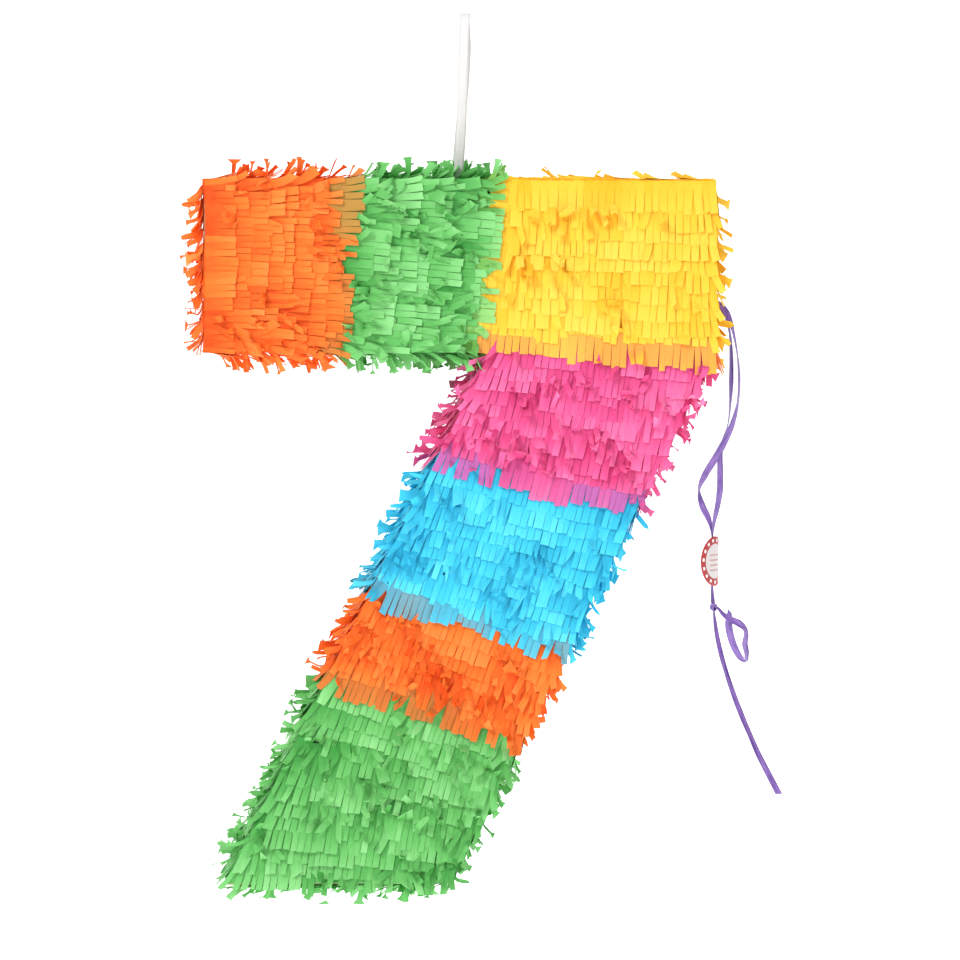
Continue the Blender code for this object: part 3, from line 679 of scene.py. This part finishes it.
def bandRows(band):
    # rows of one colour all round the box, from its start line to its end line
    leftPath, rightPath = band["left"], band["right"]
    length = (lineLength(leftPath) + lineLength(rightPath)) / 2
    first = -band.get("tuck", fringe["tuckUnder"])
    last = length - fringe["tabLength"] * band.get("lastAt", 0.97)
    count = max(1, round((last - first) / fringe["rowPitch"]))
    rows = []
    places = [first + (last - first) * k / count for k in range(count + 1)]
    if "lastAt" in band:
        places.insert(count, length - 0.0008)        # a bare strip behind the last tabs
    for k, place in enumerate(places):
        share = place / length
        a, aHeading = along(leftPath, share)
        b, bHeading = along(rightPath, share)
        aOut, bOut = outwardOf(aHeading) * -1, outwardOf(bHeading)
        proud = fringe["rootHeight"]
        aFace = a + aOut * proud if band["leftWall"] else a + aOut * 0.014
        bFace = b + bOut * proud if band["rightWall"] else b
        level = (bFace - aFace).normalized()
        square = Vector((level.y, -level.x))
        middleHeading = (aHeading + bHeading).normalized()
        run = (square * 0.8 + middleHeading * 0.2).normalized()
        common = {"room": place - first + band.get("roomAbove", 0.012), "broad": band.get("broad", 1.0),
                  "calm": (0.35 if k < 1 else 1.0) * band.get("ruffled", 1.0)}
        if place > last + 0.001:
            common.update(calm=0.0, lengthShare=0.06)
        if band.get("overNext") and k == count:
            common["last"] = band.get("overStrength", 0.9)
            common["calm"] *= band.get("lastCalm", 0.7)
        if band.get("overNext") and k == count - 1:
            common["patchShort"] = 0.24
        face = halfDepth
        faceCommon = {"run": inSpace(run, 0), "lift": lifts[band.get("faceLift", "face")], **common}
        hidden = 0.0 if band["leftWall"] else 0.018      # lies under the next colour's tabs
        rows.append({"start": inSpace(aFace, -face), "end": inSpace(bFace, -face), "normal": (0, -1, 0),
                     "runStart": inSpace(aHeading, 0), "runEnd": inSpace(bHeading, 0), "calmStart": hidden,
                     **faceCommon})
        rows.append({"start": inSpace(bFace, face), "end": inSpace(aFace, face), "normal": (0, 1, 0),
                     "runStart": inSpace(bHeading, 0), "runEnd": inSpace(aHeading, 0), "calmEnd": hidden,
                     **faceCommon})
        if band["rightWall"]:
            rows.append({"start": inSpace(b, -face - proud), "end": inSpace(b, face + proud),
                         "normal": inSpace(bOut, 0), "run": inSpace(bHeading, 0),
                         "lift": lifts[band.get("rightLift", "side")], **common})
        if band["leftWall"] and share >= band.get("leftFrom", -1):
            rows.append({"start": inSpace(a, face + proud), "end": inSpace(a, -face - proud),
                         "normal": inSpace(aOut, 0), "run": inSpace(aHeading, 0),
                         "lift": lifts[band.get("leftLift", "side")], **common})
    return rows


def capRows(low, high, fixed, normal, run, levelAxis, lift, **extra):
    # rows over a flat end; low and high are opposite corners
    low, high, normal, run = Vector(low), Vector(high), Vector(normal), Vector(run)
    low[levelAxis] -= fringe["rootHeight"]
    high[levelAxis] += fringe["rootHeight"]
    runLength = abs((high - low).dot(run))
    count = max(1, round((runLength - fringe["tabLength"] * fixed) / fringe["rowPitch"]))
    begin = Vector(low)
    begin += run * 0.002
    stride = (runLength - fringe["tabLength"] * fixed - 0.002) / count
    spanVector = Vector([(high - low)[i] if i == levelAxis else 0.0 for i in range(3)])
    rows = []
    for k in range(count + 1):
        start = begin + run * stride * k
        rows.append({"start": tuple(start), "end": tuple(start + spanVector), "normal": tuple(normal),
                     "run": tuple(run), "lift": lifts[lift], "room": 0.0018 + stride * k, **extra})
    return rows


bandSeams = {"orangeGreenTop": 0.112, "orangeGreenLow": 0.100, "greenYellowTop": 0.214,
             "pink": (0.0, 0.014), "blue": (0.084, 0.117), "orange": (0.174, 0.220), "green": (0.240, 0.280)}
seamATop, seamALow = (barLeft + bandSeams["orangeGreenTop"], barTop), (barLeft + bandSeams["orangeGreenLow"], barUnder)
seamBTop, innerCorner = (barLeft + bandSeams["greenYellowTop"], barTop), (innerCornerX, barUnder)


def stemBand(startKey, endKey, **more):
    startDrops = bandSeams[startKey]
    endDrops = bandSeams[endKey] if endKey else (stemDrop, stemDrop)
    return {"left": [stemSide(startDrops[0], False), stemSide(endDrops[0], False)],
            "right": [stemSide(startDrops[1], True), stemSide(endDrops[1], True)],
            "leftWall": True, "rightWall": True, **more}


bands = {
    "fringeOrangeBar": {
        "colour": "orange", "node": "fringe_orange_bar", "seed": 11, "ruffled": 0.8, "faceLift": "crumpled", "overNext": (0.42, 0.26, 0.055),
        "left": [(barLeft, barUnder), seamALow], "right": [(barLeft, barTop), seamATop],
        "leftWall": True, "rightWall": True, "tuck": -0.004, "roomAbove": 0.0056,
        "rightLift": "crown"},
    "fringeGreenBar": {
        "colour": "green", "node": "fringe_green_bar", "seed": 12, "broad": 1.1, "ruffled": 1.25, "overNext": (0.45, 0.56, 0.04),
        "overStrength": 0.3, "faceLift": "crumpled", "lastCalm": 1.1,
        "left": [seamALow, innerCorner], "right": [seamATop, seamBTop],
        "leftWall": True, "rightWall": True, "rightLift": "crown", "leftLift": "crown"},
    "fringeYellow": {
        "colour": "yellow", "node": "fringe_yellow", "seed": 13, "broad": 1.2, "overNext": (0.90, 0.36, 0.075),
        "left": [seamBTop, innerCorner],
        "right": [(barRight, barTop), (barRight, barUnder), stemSide(bandSeams["pink"][1], True)],
        "leftWall": False, "rightWall": True, "tuck": -0.005, "roomAbove": 0.0066, "faceLift": "calm",
        "lastCalm": 0.25},
    "fringePink": {
        "colour": "pink", "node": "fringe_pink", "seed": 14, "ruffled": 1.35, "overNext": (0.50, 0.15, 0.46), "leftFrom": 0.0,
        **stemBand("pink", "blue")},
    "fringeBlue": {
        "colour": "blue", "node": "fringe_blue", "seed": 15, "ruffled": 1.15, "overNext": (0.20, 0.36, 0.42),
        **stemBand("blue", "orange")},
    "fringeOrangeStem": {
        "colour": "orange", "node": "fringe_orange_stem", "seed": 16, "ruffled": 1.0, "overNext": (0.46, 0.20, 0.045),
        "faceLift": "crumpled",
        **stemBand("orange", "green")},
    "fringeGreenStem": {
        "colour": "green", "node": "fringe_green_stem", "seed": 17, "ruffled": 0.9, "lastAt": 0.62, "faceLift": "crumpled",
        **stemBand("green", None)},
}


def endRows(name):
    # the flat ends that only one colour covers
    if name == "fringeOrangeBar":
        return capRows((barLeft, -halfDepth, barTop), (barLeft, halfDepth, barUnder), 0.85, (-1, 0, 0), (0, 0, -1),
                       1, "side")
    if name == "fringeGreenStem":
        return capRows((footRight, -halfDepth, footZ), (footLeft, halfDepth, footZ), 0.9, (0, 0, -1), (-1, 0, 0),
                       1, "side")
    return []


def inFlap(points):
    edge = 0.0012
    return ((points[:, 0] > flapLow.x - edge) & (points[:, 0] < flapHigh.x + edge)
            & (points[:, 1] > flapLow.y) & (points[:, 1] < flapHigh.y))


def pressCrease(world):
    # the paper is folded flat with the board along the flap's crease
    away = np.abs(world[..., 1] - flapHigh.y)
    beside = (world[..., 0] > flapLow.x - 0.002) & (world[..., 0] < flapHigh.x + 0.002)
    press = np.where(beside, np.clip((away - 0.0005) / 0.006, 0.15, 1.0), 1.0)
    world[..., 2] = barTop + (world[..., 2] - barTop) * press


def slitBox(world, roots):
    # box paper stops at the slit beside the flap
    pressCrease(world)
    beside = (world[..., 0] > flapLow.x - 0.0006) & (world[..., 0] < flapHigh.x + 0.0006)
    front = (roots[:, 1] < flapLow.y)[:, None, None] & beside
    back = (roots[:, 1] > flapHigh.y - 0.003)[:, None, None] & beside
    world[..., 1] = np.where(front, np.minimum(world[..., 1], flapLow.y - 0.0004), world[..., 1])
    world[..., 1] = np.where(back, np.maximum(world[..., 1], flapHigh.y + 0.0004), world[..., 1])


def slitFlap(world, roots):
    pressCrease(world)
    world[..., 1] = np.clip(world[..., 1], flapLow.y + 0.0004, flapHigh.y - 0.0012)


def topRows():
    # the yellow top of the bar: rows across the depth with tabs to the left, cut through round the flap
    box, flap = [], []
    rows = capRows((barRight, -halfDepth, barTop), (seamBTop[0] - 0.004, halfDepth, barTop), 0.75, (0, 0, 1),
                   (-1, 0, 0), 1, "top")
    for row in rows:
        x = row["start"][0]
        overFlap = flapLow.x < x < flapHigh.x
        if overFlap:
            box.append({**row, "within": lambda p: ~inFlap(p), "slit": slitBox})
            flap.append({**row, "within": inFlap, "room": flapHigh.x - x, "slit": slitFlap})
        else:
            toCut = x - flapHigh.x
            if 0 <= toCut < 0.025:
                cut = {**row, "cutAt": toCut - 0.0006}
                box.append({**cut, "within": lambda p: (p[:, 1] > flapLow.y) & (p[:, 1] < flapHigh.y)})
                box.append({**row, "within": lambda p: (p[:, 1] <= flapLow.y) | (p[:, 1] >= flapHigh.y),
                            "slit": slitBox})
            elif 0 < flapLow.x - x < fringe["marginUp"]:
                short = {**row, "room": flapLow.x - x - 0.0006}      # its pasted part stops at the slit
                box.append({**short, "within": lambda p: (p[:, 1] > flapLow.y) & (p[:, 1] < flapHigh.y)})
                box.append({**row, "within": lambda p: (p[:, 1] <= flapLow.y) | (p[:, 1] >= flapHigh.y),
                            "slit": slitBox})
            else:
                box.append(row)
    return box, flap


yellowTop, flapTop = topRows()
for name, band in bands.items():
    rng, noise, store = np.random.default_rng(band["seed"]), sheetNoise(band["seed"]), PaperStore()
    rows = bandRows(band) + endRows(name) + (yellowTop if name == "fringeYellow" else [])
    for row in rows:
        layRow(store, rng, noise, row)
    tissue = tissues[band["colour"]]
    material = tissueMaterial(name + "Paper", tissue["deep"], tissue["middle"], tissue["pale"],
                              band.get("overNext") or tissue["middle"])
    piece = store.build(name, material, "box")
    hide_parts(band["node"])
    if name == "fringeYellow":
        yellowPaper = material
    print(name, "rows", len(rows), "faces", len(piece.data.polygons))

flapStore, flapRng, flapNoise = PaperStore(), np.random.default_rng(18), sheetNoise(18)
for row in flapTop:
    layRow(flapStore, flapRng, flapNoise, row)
flapFringe = flapStore.build("fringeFlap", yellowPaper, "flap")
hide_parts("fringe_flap")
print("fringe done")


# ---------------------------------------------------------------- boards and tape
for node in ("front_panel", "back_panel", "wall_top", "wall_end_right", "wall_stem_outer", "wall_foot",
             "wall_stem_inner", "wall_bar_under", "wall_end_left", "filler_flap", "loop_backing_plate"):
    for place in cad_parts[node].material_slots:
        place.material = cardMat
for node in ("front_seam_tape", "back_seam_tape"):
    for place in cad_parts[node].material_slots:
        place.material = gummedMat
for node in ("loop_tie", "loop_knot"):
    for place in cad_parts[node].material_slots:
        place.material = tiedTapeMat
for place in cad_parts["ribbon_anchor_knot"].material_slots:
    place.material = knotMat


# ---------------------------------------------------------------- flat ribbons and tapes
def flatBand(name, line, sides, width, thickness, material, body, mapName, columns=4, crown=0.0, cutEnd=0.0,
             gather=None):
    # a ribbon along a line; each side vector lies across it, and gather narrows it from place to place
    verts, flats, faces = [], [], []
    walked = 0.0
    count = len(line)
    for i, (point, side) in enumerate(zip(line, sides)):
        if i:
            walked += (point - line[i - 1]).length
        heading = (line[min(i + 1, count - 1)] - line[max(i - 1, 0)]).normalized()
        up = side.cross(heading).normalized()
        halfWidth = width / 2 * (gather[i] if gather else 1.0)
        for c in range(columns + 1):
            u = c / columns * 2 - 1
            slip = cutEnd * u * max(0.0, (i - count + 4) / 3)
            verts.append(point + side * (u * halfWidth) + up * (crown * (1 - u * u)) + heading * slip)
            flats.append((u * width / 2 + width, walked))
    for i in range(count - 1):
        for c in range(columns):
            a = i * (columns + 1) + c
            faces.append((a, a + 1, a + columns + 2, a + columns + 1))
    obj = addMesh(name, verts, faces, material, body)
    flatMap = obj.data.uv_layers.new(name=mapName)
    for loop in obj.data.loops:
        flatMap.data[loop.index].uv = flats[loop.vertex_index]
    thicken(obj, thickness)
    return obj


loopLook = {"width": 0.0070, "thickness": 0.0009, "spacing": 0.003}
holeZ, loopLean, loopSpread, loopBend = -0.1205, 0.0057, 0.010, 0.0049


def loopLine():
    points = []
    rise = [holeZ, -0.111, -0.090, -0.068, -0.046, -0.024, -0.0125]
    spread = [loopSpread, 0.0099, 0.0094, 0.0085, 0.0073, 0.0059, 0.0051]
    bow = [0.0, 0.0002, 0.0006, 0.0006, 0.0002, -0.0003, -0.0004]
    bowBack = [0.0, 0.0002, 0.0007, 0.0014, 0.0022, 0.0022, 0.0012]
    for z, y, x in zip(rise, spread, bow):
        points.append((loopLean * z / 0.119 + x, -y, z))
    for k in range(1, 6):
        angle = math.pi * (1 - k / 6)
        points.append((0.0, loopBend * math.cos(angle), -loopBend + loopBend * math.sin(angle) + 0.0004))
    for z, y, x in reversed(list(zip(rise, spread, bowBack))):
        points.append((loopLean * z / 0.119 + x, y, z))
    return points


loopPath, loopPlaces, loopLength = smoothLine(loopLine(), loopLook["spacing"])
loopSides = []
for point, placeNow in zip(loopPath, loopPlaces):
    sway = 0.30 * math.sin(placeNow * 0.9)
    loopSides.append(Vector((math.cos(sway), math.sin(sway), 0.0)))
hangingTape = flatBand("hangingTape", loopPath, loopSides, loopLook["width"], loopLook["thickness"], tapeMat, "loop",
                       "tapeFlat")
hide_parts("hanging_loop")
print("hanging tape", round(loopLength, 4))

ribbonExit = Vector((barRight, 0.0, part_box("ribbon_lead")[0][2] / 2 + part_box("ribbon_lead")[1][2] / 2))
ribbonLook = {"width": 0.0052, "thickness": 0.00018, "spacing": 0.0014, "crown": 0.00035,
              "gatherAt": (0.150, 0.164, 0.206, 0.2165, 0.219, 0.228), "gatherTo": (1.0, 0.46, 0.46, 0.46, 0.52, 1.0)}
strandFront = [
    (0.0065, -0.0008, -0.0006), (0.0098, -0.0012, -0.0024), (0.0142, -0.0018, -0.0084),
    (0.0178, -0.0022, -0.0190), (0.0210, -0.0022, -0.0360), (0.0224, -0.0020, -0.0530),
    (0.0216, -0.0018, -0.0700), (0.0180, -0.0018, -0.0850), (0.0128, -0.0022, -0.0970),
    (0.0062, -0.0026, -0.1090), (-0.0018, -0.0024, -0.1220), (-0.0060, -0.0018, -0.1330),
    (-0.0036, -0.0012, -0.1440), (0.0012, -0.0008, -0.1540), (0.0036, -0.0002, -0.1640),
    (0.0036, 0.0000, -0.1760), (0.0036, 0.0000, -0.1910), (0.0036, 0.0000, -0.2040),
    (0.0038, 0.0000, -0.2130), (0.0046, 0.0000, -0.2160),
]
frontTurns = [10, 15, 30, 60, 72, 62, 66, 40, 24, 10, 20, 68, 24, 30, 52, 56, 56, 50, 44, 40]
strandBack = [
    (0.0065, 0.0008, -0.0006), (0.0094, 0.0012, -0.0028), (0.0132, 0.0014, -0.0094),
    (0.0162, 0.0014, -0.0220), (0.0172, 0.0014, -0.0380), (0.0172, 0.0014, -0.0560),
    (0.0165, 0.0014, -0.0720), (0.0150, 0.0012, -0.0860), (0.0118, 0.0010, -0.0970),
    (0.0094, 0.0010, -0.1070), (0.0094, 0.0010, -0.1200), (0.0092, 0.0010, -0.1330),
    (0.0074, 0.0008, -0.1450), (0.0052, 0.0004, -0.1550), (0.0039, 0.0002, -0.1650),
    (0.0039, 0.0000, -0.1760), (0.0039, 0.0000, -0.1910), (0.0040, 0.0000, -0.2040),
    (0.0050, 0.0000, -0.2130), (0.0049, 0.0002, -0.2160),
]
backTurns = [20, 35, 58, 66, 52, 45, 66, 76, 60, 40, 28, 24, 38, 46, 54, 56, 56, 50, 44, 40]
tailLong = [
    (0.0048, 0.0000, -0.2166), (0.0050, 0.0000, -0.2198), (0.0057, 0.0002, -0.2260), (0.0072, 0.0004, -0.2360),
    (0.0100, 0.0006, -0.2490), (0.0140, 0.0008, -0.2630), (0.0190, 0.0010, -0.2780),
    (0.0247, 0.0010, -0.2930), (0.0307, 0.0008, -0.3070), (0.0372, 0.0006, -0.3220),
    (0.0444, 0.0004, -0.3360), (0.0522, 0.0002, -0.3510),
]
longTurns = [60, 60, 56, 50, 44, 48, 42, 38, 44, 36, 30, 26]
tailCurly = [
    (0.0054, -0.0002, -0.2166), (0.0082, -0.0006, -0.2176), (0.0117, -0.0020, -0.2218), (0.0167, -0.0038, -0.2252),
    (0.0222, -0.0046, -0.2278), (0.0267, -0.0036, -0.2316), (0.0280, -0.0012, -0.2370),
    (0.0276, 0.0016, -0.2430), (0.0292, 0.0040, -0.2500), (0.0288, 0.0064, -0.2556),
    (0.0247, 0.0080, -0.2530), (0.0208, 0.0082, -0.2460), (0.0180, 0.0074, -0.2380),
    (0.0164, 0.0062, -0.2290), (0.0172, 0.0050, -0.2200),
]
curlyTurns = [50, 40, 30, 12, 20, 50, 40, 30, 42, 60, 40, 24, 14, 10, 20]


def ribbonStrip(name, points, turns, body, node, cutEnd=0.0):
    line, places, length = smoothLine([ribbonExit + Vector(p) for p in points], ribbonLook["spacing"])
    sides, lastPlane = [], Vector((1.0, 0.0, 0.0))
    for i, placeNow in enumerate(places):
        heading = (line[min(i + 1, len(line) - 1)] - line[max(i - 1, 0)]).normalized()
        plane = heading.cross(Vector((0.0, 1.0, 0.0)))
        if plane.length > 0.35:
            lastPlane = plane.normalized()
        plane = (lastPlane - heading * lastPlane.dot(heading)).normalized()
        angle = math.radians(float(np.interp(placeNow, range(len(turns)), turns)))
        sides.append(plane * math.cos(angle) + plane.cross(heading) * math.sin(angle))
    drops = [ribbonExit.z - point.z for point in line]
    gather = list(np.interp(drops, ribbonLook["gatherAt"], ribbonLook["gatherTo"]))
    obj = flatBand(name, line, sides, ribbonLook["width"], ribbonLook["thickness"], ribbonMat, body, "ribbonFlat",
                   crown=ribbonLook["crown"], cutEnd=cutEnd, gather=gather)
    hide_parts(node)
    print(name, round(length, 4))
    return obj


def tiedKnot(name, centre, radius, node, body):
    # the ribbon drawn tight round itself
    points, sides = [], []
    count = 90
    for k in range(count + 1):
        turn = 2 * math.pi * 3.4 * k / count
        lean = 0.9 * math.sin(turn / 3.4) + 0.35
        first = Vector((math.cos(lean), 0.25 * math.sin(lean), math.sin(lean))).normalized()
        second = first.cross(Vector((-math.sin(lean), 0.9, math.cos(lean)))).normalized()
        reach = radius * (0.74 + 0.16 * k / count)
        points.append(centre + (first * math.cos(turn) + second * math.sin(turn)) * reach)
    for k in range(count + 1):
        heading = (points[min(k + 1, count)] - points[max(k - 1, 0)]).normalized()
        outward = (points[k] - centre).normalized()
        sides.append(heading.cross(outward).normalized())
    obj = flatBand(name, points, sides, radius * 1.15, ribbonLook["thickness"] * 1.5, ribbonMat, body, "ribbonFlat",
                   crown=radius * 0.1)
    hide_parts(node)
    return obj


knotLow, knotHigh = (Vector(c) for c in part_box("ribbon_knot"))
ribbonKnot = tiedKnot("ribbonKnot", (knotLow + knotHigh) / 2, (knotHigh.x - knotLow.x) / 2, "ribbon_knot", "ribbon")

tagLook = {"radius": 0.01775, "bendRight": 0.022, "bendLeft": 0.075, "thickness": 0.0005, "red": (0.46, 0.030, 0.032),
           "white": (0.93, 0.91, 0.90), "centre": (0.80, 0.76, 0.75), "centreShade": (0.70, 0.64, 0.64),
           "rimStart": 0.352, "blockStart": 0.392, "blockEnd": 0.455, "rimBlocks": 15.0, "blockShare": 0.35,
           "ruleTurns": 62.0, "ruleReach": 0.21}
tagMat = tagMaterial("tagCard", tagLook)


def buildTag():
    tagLow, tagHigh = (Vector(c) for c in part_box("round_tag"))
    centre = (tagLow + tagHigh) / 2
    turn = math.radians(56.0)
    facing = Vector((math.sin(turn), -math.cos(turn), 0.0))
    level = Vector((math.cos(turn), math.sin(turn), 0.0))
    rings, spokes = 14, 56
    verts, flats, faces = [], [], []

    def place(across, upward):
        radius = tagLook["bendRight"] if across > 0 else tagLook["bendLeft"]
        inPlane = radius * math.sin(across / radius)
        back = radius * (1 - math.cos(across / radius))
        verts.append(centre + level * inPlane - facing * back + Vector((0, 0, upward)))
        flats.append((0.5 + across / tagLook["radius"] / 2, 0.5 + upward / tagLook["radius"] / 2))

    place(0.0, 0.0)
    for i in range(1, rings + 1):
        for k in range(spokes):
            angle = 2 * math.pi * k / spokes
            r = tagLook["radius"] * i / rings
            place(r * math.cos(angle), r * math.sin(angle))
    for k in range(spokes):
        faces.append((0, 1 + k, 1 + (k + 1) % spokes))
    for i in range(rings - 1):
        for k in range(spokes):
            a, b = 1 + i * spokes + k, 1 + i * spokes + (k + 1) % spokes
            faces.append((a, a + spokes, b + spokes, b))
    obj = addMesh("roundTag", verts, faces, tagMat, "tag")
    flatMap = obj.data.uv_layers.new(name="tagFlat")
    for loop in obj.data.loops:
        flatMap.data[loop.index].uv = flats[loop.vertex_index]
    thicken(obj, tagLook["thickness"])
    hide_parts("round_tag")
    return obj


roundTag = buildTag()
ribbonStrip("ribbonStrandFront", strandFront, frontTurns, "ribbon", "ribbon_strand_front")
ribbonStrip("ribbonStrandBack", strandBack, backTurns, "ribbon", "ribbon_strand_back")
ribbonStrip("ribbonTailLong", tailLong, longTurns, "ribbon", "ribbon_tail_long", cutEnd=0.0012)
ribbonStrip("ribbonTailCurly", tailCurly, curlyTurns, "ribbon", "ribbon_tail_curly",
            cutEnd=0.0014)

leadLine = [ribbonExit + Vector((x, 0.0, z)) for x, z in ((-0.0030, 0.0), (0.0, 0.0), (0.0030, -0.0001),
                                                          (0.0056, -0.0004), (0.0082, -0.0014))]
ribbonLead = flatBand("ribbonLead", leadLine, [Vector((0.0, 0.9, 0.44)).normalized()] * len(leadLine), 0.0040, 0.0006,
                      ribbonMat, "box", "ribbonFlat", crown=0.0006)
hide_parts("ribbon_lead")


# ---------------------------------------------------------------- stage, lights, camera
def buildStage():
    # a pale sweep: floor below, rising to a backdrop behind
    floorZ, backY, radius, halfWidth, frontY, wallTop = -0.74, 5.0, 1.2, 7.0, -6.0, 5.0
    profile = [(frontY, floorZ), (backY - radius, floorZ)]
    for k in range(1, 17):
        angle = math.pi / 2 * k / 16
        profile.append((backY - radius + radius * math.sin(angle), floorZ + radius - radius * math.cos(angle)))
    profile.append((backY, wallTop))
    verts, faces = [], []
    for y, z in profile:
        verts += [(-halfWidth, y, z), (halfWidth, y, z)]
    for i in range(len(profile) - 1):
        faces.append((2 * i, 2 * i + 1, 2 * i + 3, 2 * i + 2))
    mesh = bpy.data.meshes.new("sweep")
    mesh.from_pydata(verts, [], faces)
    mesh.shade_smooth()
    mat, tree, shader = startMaterial("paleSweep", 0.9)
    place = addNode(tree, "ShaderNodeTexCoord")
    cloud = noiseNode(tree, place.outputs["Object"], 2.0, 2.0)
    tree.links.new(mixColour(tree, cloud, (0.93, 0.93, 0.93), (0.96, 0.96, 0.96)), shader.inputs["Base Color"])
    shader.inputs["Emission Color"].default_value = (1.0, 1.0, 1.0, 1.0)
    shader.inputs["Emission Strength"].default_value = 0.8
    mesh.materials.append(mat)
    sweep = bpy.data.objects.new("sweep", mesh)
    sceneNow.collection.objects.link(sweep)


def addLight(name, place, target, size, power, colour=(1.0, 1.0, 1.0)):
    light = bpy.data.lights.new(name, "AREA")
    light.shape = "RECTANGLE"
    light.size, light.size_y = size
    light.energy = power
    light.color = colour
    obj = bpy.data.objects.new(name, light)
    obj.location = place
    obj.rotation_euler = (Vector(target) - Vector(place)).to_track_quat("-Z", "Y").to_euler()
    sceneNow.collection.objects.link(obj)


buildStage()
middleZ = -0.36
addLight("keyLight", (-1.2, -1.9, 1.3), (0.0, 0.0, middleZ), (0.8, 0.8), 43)
addLight("fillLight", (1.7, -1.9, 0.2), (0.0, 0.0, middleZ), (1.6, 1.8), 9)
addLight("topLight", (0.0, -0.1, 1.5), (0.0, 0.0, middleZ), (1.8, 1.2), 11)
addLight("backLight", (0.5, 1.2, 0.9), (0.0, 0.0, middleZ), (1.6, 1.0), 8)
world = bpy.data.worlds.new("studio")
world.use_nodes = True
world.node_tree.nodes["Background"].inputs["Color"].default_value = (1.0, 1.0, 1.0, 1.0)
world.node_tree.nodes["Background"].inputs["Strength"].default_value = 0.25
sceneNow.world = world

cameraLook = {"azimuth": -3.5, "elevation": 2.5, "distance": 2.8, "aim": (0.0106, 0.0, -0.3294), "frameWidth": 0.6816}
cameraData = bpy.data.cameras.new("camera")
cameraData.sensor_width = 36.0
cameraData.lens = 36.0 * cameraLook["distance"] / cameraLook["frameWidth"]
camera = bpy.data.objects.new("camera", cameraData)
azimuth, elevation = math.radians(cameraLook["azimuth"]), math.radians(cameraLook["elevation"])
aim = Vector(cameraLook["aim"])
away = Vector((math.sin(azimuth) * math.cos(elevation), -math.cos(azimuth) * math.cos(elevation),
               math.sin(elevation)))
camera.location = aim + away * cameraLook["distance"]
camera.rotation_euler = (-away).to_track_quat("-Z", "Y").to_euler()
sceneNow.collection.objects.link(camera)
sceneNow.camera = camera
print("stage ready")
